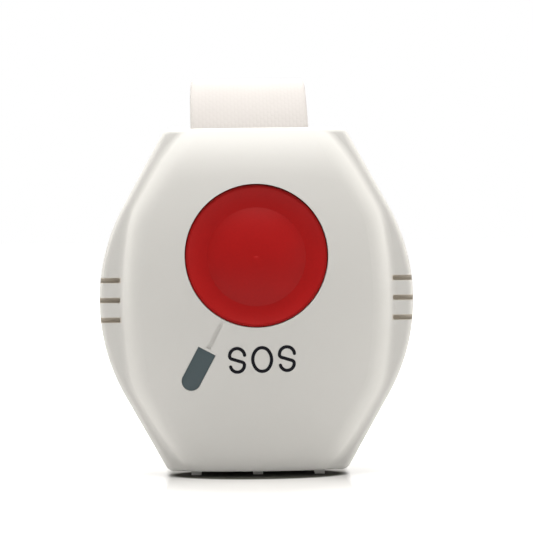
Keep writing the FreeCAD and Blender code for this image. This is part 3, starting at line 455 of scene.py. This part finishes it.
def plastic(name, colour, roughness, grain=GRAIN_SCALE, mottle=MOTTLE, depth=GRAIN_DEPTH,
            strength=GRAIN_STRENGTH, gloss=PLAIN_GLOSS):
    material, nodes, links, shader = new_material(name)
    skin = add_group(nodes, GRAIN, Grain_Scale=grain, Mottle=mottle)
    links.new(tinted(nodes, links, colour, skin.outputs["Tone"]), shader.inputs["Base Color"])
    rough = math_node(nodes, links, "MULTIPLY", skin.outputs["Tone"], roughness)
    links.new(rough, shader.inputs["Roughness"])
    links.new(bump(nodes, links, skin.outputs["Height"], strength, depth), shader.inputs["Normal"])
    shader.inputs["Specular IOR Level"].default_value = gloss
    return material


def shell_plastic(name, unshaded_colour, slot_shade_colour, roughness):
    """The case's plastic, with a darker, browner painted shade in the grip slots."""
    material = plastic(name, unshaded_colour[:3], roughness)
    nodes, links = material.node_tree.nodes, material.node_tree.links
    # Painted shade: the grip slots take the darker, browner second colour.
    painted_shade = add_group(nodes, PAINTED_SLOT_SHADE).outputs["Dust"]
    toned = nodes["Principled BSDF"].inputs["Base Color"].links[0].from_node
    links.new(colour_mix(nodes, links, painted_shade, unshaded_colour, slot_shade_colour), toned.inputs[0])
    return material


# The second colour is the painted shade in the grip slots.
WHITE = shell_plastic("white_shell", unshaded_colour=(0.76, 0.755, 0.735, 1.0), slot_shade_colour=(0.72, 0.67, 0.60, 1.0),
                      roughness=0.42)
RED = plastic("red_cap", colour=(0.44, 0.009, 0.009), roughness=0.40, grain=3000.0, mottle=0.24,
              depth=0.02 * MM, gloss=0.15)
SMOKE = plastic("smoke_window", colour=(0.072, 0.102, 0.114), roughness=0.30, mottle=0.05,
                strength=0.1, gloss=0.22)
BLACK = plastic("black_moulding", colour=(0.02, 0.02, 0.022), roughness=0.45)
RING_WHITE = plastic("white_ring", colour=(0.80, 0.80, 0.78), roughness=0.30)
LAMP = plastic("lamp_resin", colour=(0.85, 0.84, 0.74), roughness=0.15, strength=0.05)
CERAMIC = plastic("chip_ceramic", colour=(0.36, 0.25, 0.16), roughness=0.5, mottle=0.2)
print("finishes so far:", len(bpy.data.materials))

# %% [markdown]
# The metal parts hide inside or sit in the screw recesses. Rolled and plated steel carries fine
# streaks along one direction: a noise stretched by a Mapping node gives them. The board is green
# solder mask over copper, with a faint pattern of tracks.

# %% Metal and board finishes
STREAKS_ACROSS_Y = (1.0, 14.0, 1.0)
STREAKS_ACROSS_X = (14.0, 1.0, 1.0)
STREAK_SCALE, STREAK_DETAIL = 900.0, 4.0
STREAK_DARKEST, STREAK_SHARE = 0.875, 0.25
STREAK_BUMP, STREAK_DEPTH = 0.2, 0.01 * MM
TRACKS = {
    "Scale": 260.0, "Mortar Size": 0.03, "Mortar": (0.03, 0.24, 0.10, 1.0),
    "Color1": (0.016, 0.13, 0.05, 1.0), "Color2": (0.022, 0.16, 0.06, 1.0),
}
TRACKS_STAND = (math.radians(90), 0.0, 0.0)
TRACK_BUMP, TRACK_DEPTH = 0.4, 0.03 * MM
BOARD_ROUGHNESS = 0.35


def mapped_place(nodes, links, setting, value):
    """Object coordinates through a Mapping node that has one of its settings changed."""
    mapping = nodes.new("ShaderNodeMapping")
    mapping.inputs[setting].default_value = value
    links.new(object_place(nodes), mapping.inputs["Vector"])
    return mapping.outputs["Vector"]


def metal(name, colour, roughness, stretch=STREAKS_ACROSS_Y):
    material, nodes, links, shader = new_material(name)
    place = mapped_place(nodes, links, "Scale", stretch)
    streaks = noise(nodes, links, place, STREAK_SCALE, STREAK_DETAIL)
    rise = math_node(nodes, links, "MULTIPLY", streaks, STREAK_SHARE)
    tone = math_node(nodes, links, "ADD", rise, STREAK_DARKEST)
    links.new(tinted(nodes, links, colour, tone), shader.inputs["Base Color"])
    links.new(math_node(nodes, links, "MULTIPLY", tone, roughness), shader.inputs["Roughness"])
    links.new(bump(nodes, links, streaks, STREAK_BUMP, STREAK_DEPTH), shader.inputs["Normal"])
    shader.inputs["Metallic"].default_value = 1.0
    return material


def solder_mask():
    material, nodes, links, shader = new_material("board_green")
    bricks = nodes.new("ShaderNodeTexBrick")
    for label, value in TRACKS.items():
        bricks.inputs[label].default_value = value
    links.new(mapped_place(nodes, links, "Rotation", TRACKS_STAND), bricks.inputs["Vector"])
    links.new(bricks.outputs["Color"], shader.inputs["Base Color"])
    links.new(bump(nodes, links, bricks.outputs["Fac"], TRACK_BUMP, TRACK_DEPTH), shader.inputs["Normal"])
    shader.inputs["Roughness"].default_value = BOARD_ROUGHNESS
    return material


STEEL = metal("screw_steel", colour=(0.60, 0.60, 0.60), roughness=0.38)
SPRING = metal("spring_steel", colour=(0.72, 0.72, 0.70), roughness=0.28)
CELL = metal("cell_steel", colour=(0.74, 0.74, 0.72), roughness=0.24, stretch=STREAKS_ACROSS_X)
COPPER = metal("aerial_copper", colour=(0.83, 0.48, 0.30), roughness=0.30)
BOARD = solder_mask()
print("finishes so far:", len(bpy.data.materials))

# %% [markdown]
# Each node of the frame now takes its finish. The frame's own meshes are left as they came; only
# their material slots change.

# %% Dress the frame
FINISHES = {
    "front_cover": WHITE, "rear_cover": WHITE, "panic_button": RED, "led_window": SMOKE,
    "cover_screws": STEEL, "board_screws": STEEL, "circuit_board": BOARD, "switch_body": BLACK,
    "switch_frame": SPRING, "switch_plunger": BLACK, "status_led": LAMP, "encoder_chip": BLACK,
    "saw_resonator": SPRING, "rf_transistor": BLACK, "chip_resistors": CERAMIC,
    "chip_capacitors": CERAMIC, "aerial_wire": COPPER, "cell_contact": SPRING, "cell_holder": BLACK,
    "coin_cell": CELL, "cell_clip": SPRING, "strap_ring": RING_WHITE,
}


def dress(node, material):
    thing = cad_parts[node]
    thing.data.materials.clear()
    thing.data.materials.append(material)


for node, material in FINISHES.items():
    dress(node, material)
print("dressed:", len(FINISHES), "of", len(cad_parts), "nodes")

# %% [markdown]
# ## The woven band
#
# The band is one length of flat webbing. It runs up behind the case under two bars, round the
# wrist, and both of its ends turn round a wire ring at the back: the lower end is sewn down, and
# the upper one is folded back over a patch of hooks. Seen from the side its path is a row of arcs
# joined by straight runs, so a flat section can be spun round each arc's centre and extruded along
# each run. The arcs' centres follow from the ring and the reach of the frame's plain band.

# %% The band's path
BAND_THICK = 1.5 * MM
RING_CLEAR = 0.15 * MM
SEWN_CLEAR = 0.1 * MM
PATCH_ROOM = 1.0 * MM
TOP_BEND = 17.05 * MM
LOW_BEND = 10.5 * MM
SEWN_ANGLE = math.radians(32)
FOLD_ANGLE = math.radians(58)
BAND_LOW, BAND_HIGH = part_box("strap_band")
RING_LOW, RING_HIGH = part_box("strap_ring")
SELVEDGE_ROOM = 0.25 * MM
BAND_WIDTH = BAND_HIGH.x - BAND_LOW.x - 2 * SELVEDGE_ROOM


def band_circles():
    """Circles (y, z, radius) that the band's wrist side goes round; it turns right round a negative one."""
    wire = (RING_HIGH.y - RING_LOW.y) / 2
    bar_y = (RING_HIGH.y + RING_LOW.y) / 2
    wrap = wire + RING_CLEAR + BAND_THICK
    front, rear = BAND_LOW.y + BAND_THICK, bar_y - wrap
    top = BAND_HIGH.z - BAND_THICK
    upper, lower = RING_HIGH.z, RING_LOW.z
    high_rear, low_rear = top - upper, lower - BAND_THICK
    return [
        (rear - low_rear, lower, low_rear + 2 * BAND_THICK + SEWN_CLEAR),
        (bar_y, lower + wire, wrap),
        (rear - low_rear, lower, -low_rear),
        (front + LOW_BEND, BAND_THICK + LOW_BEND, -LOW_BEND),
        (front + TOP_BEND, top - TOP_BEND, -TOP_BEND),
        (rear - high_rear, upper, -high_rear),
        (bar_y, upper - wire, wrap),
        (rear - high_rear, upper, high_rear + 2 * BAND_THICK + PATCH_ROOM),
    ]


def path_legs(circles, first, last):
    """Each circle with the heading at which the path meets it and the angle that it turns there."""
    headings = [first + math.pi / 2]
    for (a, b, radius), (next_a, next_b, next_radius) in zip(circles, circles[1:]):
        apart = math.hypot(next_a - a, next_b - b)
        tilt = math.asin(max(-1.0, min(1.0, (radius - next_radius) / apart)))
        headings.append(math.atan2(next_b - b, next_a - a) + tilt)
    headings.append(last + math.pi / 2)
    legs = []
    for circle, start, end in zip(circles, headings, headings[1:]):
        turn = (end - start) % (2 * math.pi)
        legs.append((circle, start, turn - 2 * math.pi if circle[2] < 0 else turn))
    return legs


def path_point(circle, heading, left=0.0):
    """The point of a path on its circle, or beside it on the left."""
    a, b, radius = circle
    reach = radius - left
    return a + reach * math.sin(heading), b - reach * math.cos(heading)


BAND_LEGS = path_legs(band_circles(), -SEWN_ANGLE, FOLD_ANGLE)
print("the band goes round", len(BAND_LEGS), "arcs")

# %% [markdown]
# Webbing has a flat body and slightly rounded selvedges. The section is a ring of vertices, and
# every new section is as many vertices again, so the distance run along the band can be written
# onto each of them. The weave reads that distance, which keeps its threads square to the band at
# every bend.

# %% Spin the band
SELVEDGE_STEPS = 6
ARC_STEP = math.radians(3)
BAND_AXIS = (1, 0, 0)
TOUCHING = 1e-7
LEAN = 0.9 * MM
LEAN_STARTS = 32 * MM
LEAN_FADES = (20 * MM, 48 * MM)


def selvedge_section(bm, circle, heading):
    """A closed ring of vertices: flat above and below, rounded at both edges."""
    ring = []
    for side in (1, -1):
        for index in range(SELVEDGE_STEPS + 1):
            angle = math.pi * (index / SELVEDGE_STEPS - HALF)
            across = side * (BAND_WIDTH / 2 - BAND_THICK / 2 * (1 - math.cos(angle)))
            left = BAND_THICK / 2 * (1 + side * math.sin(angle))
            ring.append(bm.verts.new((across, *path_point(circle, heading, left))))
    edges = [bm.edges.new(pair) for pair in zip(ring, ring[1:] + ring[:1])]
    return ring, edges


def only(kind, items):
    """The vertices, or the edges, among what an operator made."""
    return [item for item in items if isinstance(item, kind)]


def carry(bm, legs, edges, in_space, axis, arc_step):
    """Carries edges along a path: a spin for each arc, an extrusion for each straight run.

    It hands back the distance run at every section that it made, and the last section's edges.
    """
    runs, distance, before = [0.0], 0.0, None
    for circle, heading, turn in legs:
        start = path_point(circle, heading)
        if before is not None:
            shift = in_space(start[0] - before[0], start[1] - before[1])
            if shift.length > TOUCHING:
                made = bmesh.ops.extrude_edge_only(bm, edges=edges)["geom"]
                bmesh.ops.translate(bm, verts=only(bmesh.types.BMVert, made), vec=shift)
                edges = only(bmesh.types.BMEdge, made)
                distance += shift.length
                runs.append(distance)
        steps = max(1, round(abs(turn) / arc_step))
        made = bmesh.ops.spin(bm, geom=edges, cent=in_space(circle[0], circle[1]), axis=axis,
                              angle=turn, steps=steps, use_duplicate=False)["geom_last"]
        edges = only(bmesh.types.BMEdge, made)
        arc = abs(circle[2] * turn)
        for index in range(steps):
            runs.append(distance + arc * (index + 1) / steps)
        distance += arc
        before = path_point(circle, heading + turn)
    return runs, edges


def keep_runs(bm, count, runs):
    """Writes the distance run, and the place across, onto every section's vertices in their order."""
    along, across = bm.verts.layers.float.new("run"), bm.verts.layers.float.new("across")
    bm.verts.ensure_lookup_table()
    for index, run in enumerate(runs):
        for vert in bm.verts[index * count:(index + 1) * count]:
            vert[along] = run
            vert[across] = vert.co.x


def smooth_share(value, low, high):
    """Nothing up to the low value, one from the high value on, and a smooth rise between them."""
    share = min(1.0, max(0.0, (value - low) / (high - low)))
    return share * share * (3 - 2 * share)


def lean(bm):
    """Lets the upright part of the band lean aside towards its top, as it does when it is worn in."""
    for vert in bm.verts:
        raised = smooth_share(vert.co.z, LEAN_STARTS, BAND_HIGH.z)
        in_front = 1.0 - smooth_share(vert.co.y, *LEAN_FADES)
        vert.co.x -= LEAN * raised * in_front


def in_side_plane(a, b):
    return Vector((0.0, a, b))


def woven_band():
    """The band's shape and its length along the wrist side."""
    circle, heading = BAND_LEGS[0][:2]
    bm = bmesh.new()
    ring, first = selvedge_section(bm, circle, heading)
    runs, last = carry(bm, BAND_LEGS, first, in_side_plane, BAND_AXIS, ARC_STEP)
    keep_runs(bm, len(ring), runs)
    for end in (first, last):
        bmesh.ops.contextual_create(bm, geom=end)
    lean(bm)
    return bm, runs[-1]


band_mesh, band_length = woven_band()
print(f"band: {BAND_WIDTH / MM:.0f} mm wide, {band_length / MM:.0f} mm long")

# %% [markdown]
# ## Weave
#
# Narrow webbing is woven with its warp on the face: fine ribs run along the band, and each rib is a
# chain of short floats that are half a step out of line with their neighbours. The weave reads the
# place across the band and the distance along it, both from the vertices.

# %% Woven finish
RIB_PITCH = 0.6 * MM
FLOAT_LENGTH = 1.3 * MM
HUMP_FALL, HUMP_POWER = 4.0, 0.5
FUZZ_SCALE, FUZZ_DETAIL, FUZZ_SHARE = 2600.0, 3.0, 0.35
WASH_SCALE, WASH_DETAIL, WASH_SHARE = 160.0, 2.0, 0.05
GAP_SHADE = 0.03
WEAVE_BUMP, WEAVE_DEPTH = 0.2, 0.08 * MM
WEBBING_SOCKETS = {"Roughness": 0.78, "Sheen Weight": 0.25, "Sheen Roughness": 0.5}


def vertex_value(nodes, name):
    """A value that was written onto the vertices."""
    node = nodes.new("ShaderNodeAttribute")
    node.attribute_name = name
    return node.outputs["Fac"]


def hump(nodes, links, value):
    """A rounded hump over each whole step of a value."""
    part = from_step_middle(nodes, links, value)
    square = math_node(nodes, links, "MULTIPLY", part, part)
    return math_node(nodes, links, "SUBTRACT", 1.0, math_node(nodes, links, "MULTIPLY", square, HUMP_FALL))


def make_weave_group():
    group, start, end = new_group(
        "warp_faced_weave", [("Rib Pitch", RIB_PITCH), ("Float Length", FLOAT_LENGTH)],
        ["Height", "Tone"])
    nodes, links = group.nodes, group.links
    place = object_place(nodes)
    across = math_node(nodes, links, "DIVIDE", vertex_value(nodes, "across"), start.outputs["Rib Pitch"])
    rib = math_node(nodes, links, "FLOOR", across)
    odd = math_node(nodes, links, "MULTIPLY", math_node(nodes, links, "PINGPONG", rib, 1.0), HALF)
    along = math_node(nodes, links, "DIVIDE", vertex_value(nodes, "run"), start.outputs["Float Length"])
    shifted = math_node(nodes, links, "ADD", along, odd)
    humps = math_node(nodes, links, "MULTIPLY", hump(nodes, links, across), hump(nodes, links, shifted))
    height = math_node(nodes, links, "POWER", humps, HUMP_POWER)
    fuzz = noise(nodes, links, place, FUZZ_SCALE, FUZZ_DETAIL)
    broad = noise(nodes, links, place, WASH_SCALE, WASH_DETAIL)
    mixed = math_node(nodes, links, "ADD", height, math_node(nodes, links, "MULTIPLY", fuzz, FUZZ_SHARE))
    below = math_node(nodes, links, "SUBTRACT", height, 1.0)
    shade = math_node(nodes, links, "MULTIPLY", below, GAP_SHADE)
    centred = math_node(nodes, links, "SUBTRACT", broad, NOISE_MEAN)
    wash = math_node(nodes, links, "MULTIPLY", centred, WASH_SHARE)
    tone = math_node(nodes, links, "ADD", math_node(nodes, links, "ADD", shade, wash), 1.0)
    links.new(mixed, end.inputs["Height"])
    links.new(tone, end.inputs["Tone"])
    return group


def webbing(name, colour):
    material, nodes, links, shader = new_material(name)
    weave = add_group(nodes, WEAVE)
    links.new(tinted(nodes, links, colour, weave.outputs["Tone"]), shader.inputs["Base Color"])
    raised = bump(nodes, links, weave.outputs["Height"], WEAVE_BUMP, WEAVE_DEPTH)
    links.new(raised, shader.inputs["Normal"])
    for label, value in WEBBING_SOCKETS.items():
        shader.inputs[label].default_value = value
    return material


WEAVE = make_weave_group()
WEBBING = webbing("white_webbing", colour=(0.575, 0.548, 0.535))
print("group:", WEAVE.name)

# %% [markdown]
# A piece that this lesson makes itself has to say which body it rides on. The band takes the place
# of the frame's plain solid.

# %% Hang the band
def add_piece(name, bm, material, body="housing", smooth=True):
    """Makes the bmesh a piece that rides on a body."""
    bmesh.ops.recalc_face_normals(bm, faces=bm.faces)
    for face in bm.faces:
        face.smooth = smooth
    mesh = bpy.data.meshes.new(name)
    bm.to_mesh(mesh)
    bm.free()
    mesh.materials.append(material)
    piece = bpy.data.objects.new(name, mesh)
    bpy.context.scene.collection.objects.link(piece)
    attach(piece, body)
    return piece


band = add_piece("woven_band", band_mesh, WEBBING)
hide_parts("strap_band")
print("band:", len(band.data.polygons), "faces")

# %% [markdown]
# ## Sewn end
#
# The lower end is held by rows of lock stitches through both layers. One stitch is a short rounded
# thread, so each one is made as a small rod with hemispherical ends and set in its row, once on the
# outside of the band and once inside the loop.

# %% Stitches
THREAD = 0.2 * MM
THREAD_SIDES, THREAD_RINGS = 8, 6
STITCH_LONG = 1.5 * MM
STITCH_PITCH = 2.1 * MM
STITCH_ROWS = (8.0, 12.0, 24.0, 28.0)
STITCH_MARGIN = 2.0 * MM
ON_MIDDLE_PLANE = 1e-9


def add_stitch(bm, middle, out):
    """A thread across the band, half sunk in its surface: a ball pulled apart at its middle."""
    made = bmesh.ops.create_uvsphere(bm, u_segments=THREAD_SIDES, v_segments=THREAD_RINGS,
                                     radius=THREAD)["verts"]
    for vert in made:
        if abs(vert.co.x) > ON_MIDDLE_PLANE:
            vert.co.x += math.copysign((STITCH_LONG - 2 * THREAD) / 2, vert.co.x)
    along = Vector((1, 0, 0))
    axes = Matrix((along, out.cross(along), out)).transposed().to_4x4()
    bmesh.ops.transform(bm, matrix=Matrix.Translation(middle) @ axes, verts=made)


def end_stitches():
    """Stitches across the sewn end, on the outside of the band and inside the loop."""
    bm = bmesh.new()
    y, z, outer = band_circles()[0]
    inner = outer - 2 * BAND_THICK - SEWN_CLEAR
    count = int((BAND_WIDTH - 2 * STITCH_MARGIN) / STITCH_PITCH) + 1
    for degrees in STITCH_ROWS:
        angle = -math.radians(degrees)
        out = Vector((0.0, math.cos(angle), math.sin(angle)))
        for reach, facing in ((outer, out), (inner, -out)):
            for index in range(count):
                x = (index - (count - 1) / 2) * STITCH_PITCH
                add_stitch(bm, Vector((x, y, z)) + out * reach, facing)
    return add_piece("end_stitches", bm, THREAD_FINISH)


THREAD_FINISH = plastic("sewing_thread", colour=(0.80, 0.77, 0.74), roughness=0.6, grain=9000.0,
                        mottle=0.08)
stitches = end_stitches()
print("stitches:", len(STITCH_ROWS), "rows,", len(stitches.data.polygons), "faces")

# %% [markdown]
# ## Hooks
#
# The folded end holds on a patch of tiny nylon hooks. Thousands of modelled hooks would weigh more
# than all the rest, and the band covers them, so the patch keeps its solid from the frame. A Voronoi
# pattern serves as its finish: each cell is one hook, highest in its middle, with painted shade that is
# palest there and darker between the hooks.

# %% Hook patch
HOOK_SOCKETS = {"Scale": 1100.0, "Randomness": 0.35}
HOOK_COLOUR = (0.78, 0.77, 0.75)
HOOK_SHADE_DARKEST, HOOK_SHADE_SHARE = 0.65, 0.35
HOOK_BUMP, HOOK_DEPTH = 0.8, 0.2 * MM
HOOK_ROUGHNESS = 0.6


def hook_tape():
    material, nodes, links, shader = new_material("hook_tape")
    cells = nodes.new("ShaderNodeTexVoronoi")
    for label, value in HOOK_SOCKETS.items():
        cells.inputs[label].default_value = value
    links.new(object_place(nodes), cells.inputs["Vector"])
    # Painted shade: the colour darkens from each hook's middle towards the gaps between the hooks.
    near = math_node(nodes, links, "SUBTRACT", 1.0, cells.outputs["Distance"])
    rise = math_node(nodes, links, "MULTIPLY", near, HOOK_SHADE_SHARE)
    tone = math_node(nodes, links, "ADD", rise, HOOK_SHADE_DARKEST)
    links.new(tinted(nodes, links, HOOK_COLOUR, tone), shader.inputs["Base Color"])
    links.new(bump(nodes, links, near, HOOK_BUMP, HOOK_DEPTH), shader.inputs["Normal"])
    shader.inputs["Roughness"].default_value = HOOK_ROUGHNESS
    return material


dress("hook_patch", hook_tape())
print("finishes in all:", len(bpy.data.materials))

# %% [markdown]
# ## Legend
#
# The distress letters are printed in dark ink under the button. Each letter is drawn as a pen would
# draw it: a short edge as long as the stroke is wide is spun round one arc centre after another, by
# the same function that made the band. The flat letters are then laid onto the cover by looking
# straight at it from the front, and given the thickness of a pad print.

# %% Letters
STROKE = 0.52 * MM
LETTER_HEIGHT = 4.27 * MM
LETTER_GAP = 0.74 * MM
S_WIDTH = 2.88 * MM
S_LOWER_BOWL, S_INNER_BEND = 0.93, 0.42
S_STARTS, S_STOPS = math.radians(4), math.radians(12)
O_WIDTH = 3.47 * MM
O_END_BEND = 0.86
O_TOP = math.radians(90)
LEGEND_X = 0.72 * MM
LEGEND_Z = 19.26 * MM
LEGEND_TURN = math.radians(1.4)
INK_PROUD = 0.02 * MM
INK_SUNK = 0.02 * MM
PEN_AXIS = (0, -1, 0)
PEN_STEP = math.radians(6)
PEN_END_STEPS = 10
WELD_REACH = STROKE / 200
LOOK_FROM = 10 * MM


def s_circles():
    """Arc centres (x, z, radius) of the letter S, from its upper end to its lower one."""
    half_width, half_height = (S_WIDTH - STROKE) / 2, (LETTER_HEIGHT - STROKE) / 2
    big_top, big_low = half_width, half_width * S_LOWER_BOWL
    small = half_width * S_INNER_BEND
    return [
        (0.0, half_height - big_top, big_top),
        (small - half_width, half_height - big_top, small),
        (big_low - small, big_low - half_height, -small),
        (0.0, big_low - half_height, -big_low),
    ]


def o_circles():
    """Arc centres of the letter O, an oval of four arcs, from the top round to the top again."""
    half_width, half_height = (O_WIDTH - STROKE) / 2, (LETTER_HEIGHT - STROKE) / 2
    end = half_width * O_END_BEND
    rise = half_height - end
    side = (half_width ** 2 + rise ** 2 - end ** 2) / (2 * (half_width - end))
    return [(0.0, rise, end), (side - half_width, 0.0, side), (0.0, -rise, end),
            (half_width - side, 0.0, side), (0.0, rise, end)]


def in_front_plane(a, b):
    return Vector((a, 0.0, b))


def round_end(bm, edge, way):
    """A half disc on the end edge of a stroke."""
    one, other = edge.verts
    middle = (one.co + other.co) / 2
    made = bmesh.ops.spin(bm, geom=[one], cent=middle, axis=PEN_AXIS, angle=way * math.pi,
                          steps=PEN_END_STEPS, use_duplicate=False)["geom_last"]
    bmesh.ops.weld_verts(bm, targetmap={made[0]: other})
    rim = [each for each in bm.edges if not each.link_faces and each is not edge]
    bmesh.ops.contextual_create(bm, geom=rim + [edge])


def pen_letter(bm, circles, first, last, closed):
    """A flat stroke in the plane y = 0, with round ends unless it closes on itself."""
    legs = path_legs(circles, first, last)
    circle, heading = legs[0][:2]
    ends = []
    for left in (-STROKE / 2, STROKE / 2):
        ends.append(bm.verts.new(in_front_plane(*path_point(circle, heading, left))))
    start_edge = bm.edges.new(ends)
    end_edges = carry(bm, legs, [start_edge], in_front_plane, PEN_AXIS, PEN_STEP)[1]
    if not closed:
        round_end(bm, start_edge, -1)
        round_end(bm, end_edges[0], 1)


def lay_on_cover(bm, offset):
    """Moves every vertex straight back onto the front cover, then by an offset."""
    cover = bmesh.new()
    cover.from_mesh(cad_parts["front_cover"].data)
    tree = BVHTree.FromBMesh(cover)
    for vert in bm.verts:
        eye = Vector((vert.co.x, CASE_LOW.y - LOOK_FROM, vert.co.z))
        vert.co.y = tree.ray_cast(eye, Vector((0, 1, 0)))[0].y + offset
    cover.free()


def print_legend():
    """The three letters in a row, laid on the cover and given their thickness."""
    bm = bmesh.new()
    first_s = (s_circles(), S_STARTS, S_STOPS, False)
    middle_o = (o_circles(), O_TOP, O_TOP, True)
    row = S_WIDTH + LETTER_GAP + O_WIDTH + LETTER_GAP + S_WIDTH
    starts = (0.0, S_WIDTH + LETTER_GAP, row - S_WIDTH)
    for start, width, drawn in zip(starts, (S_WIDTH, O_WIDTH, S_WIDTH), (first_s, middle_o, first_s)):
        letter = bmesh.new()
        pen_letter(letter, *drawn)
        bmesh.ops.remove_doubles(letter, verts=letter.verts, dist=WELD_REACH)
        centre = start + width / 2 - row / 2
        bmesh.ops.translate(letter, verts=letter.verts, vec=(centre, 0.0, 0.0))
        flat = bpy.data.meshes.new("letter")
        letter.to_mesh(flat)
        letter.free()
        bm.from_mesh(flat)
        bpy.data.meshes.remove(flat)
    bmesh.ops.rotate(bm, verts=bm.verts, cent=(0, 0, 0), matrix=Matrix.Rotation(-LEGEND_TURN, 3, "Y"))
    bmesh.ops.translate(bm, verts=bm.verts, vec=(LEGEND_X, 0.0, LEGEND_Z))
    lay_on_cover(bm, -INK_PROUD)
    bmesh.ops.recalc_face_normals(bm, faces=bm.faces)
    made = bmesh.ops.extrude_face_region(bm, geom=list(bm.faces))["geom"]
    bmesh.ops.translate(bm, verts=only(bmesh.types.BMVert, made), vec=(0.0, INK_PROUD + INK_SUNK, 0.0))
    return add_piece("printed_legend", bm, INK, smooth=False)


INK = plastic("legend_ink", colour=(0.004, 0.004, 0.007), roughness=0.6, mottle=0.1, gloss=0.12)
legend = print_legend()
print("legend:", len(legend.data.polygons), "faces")
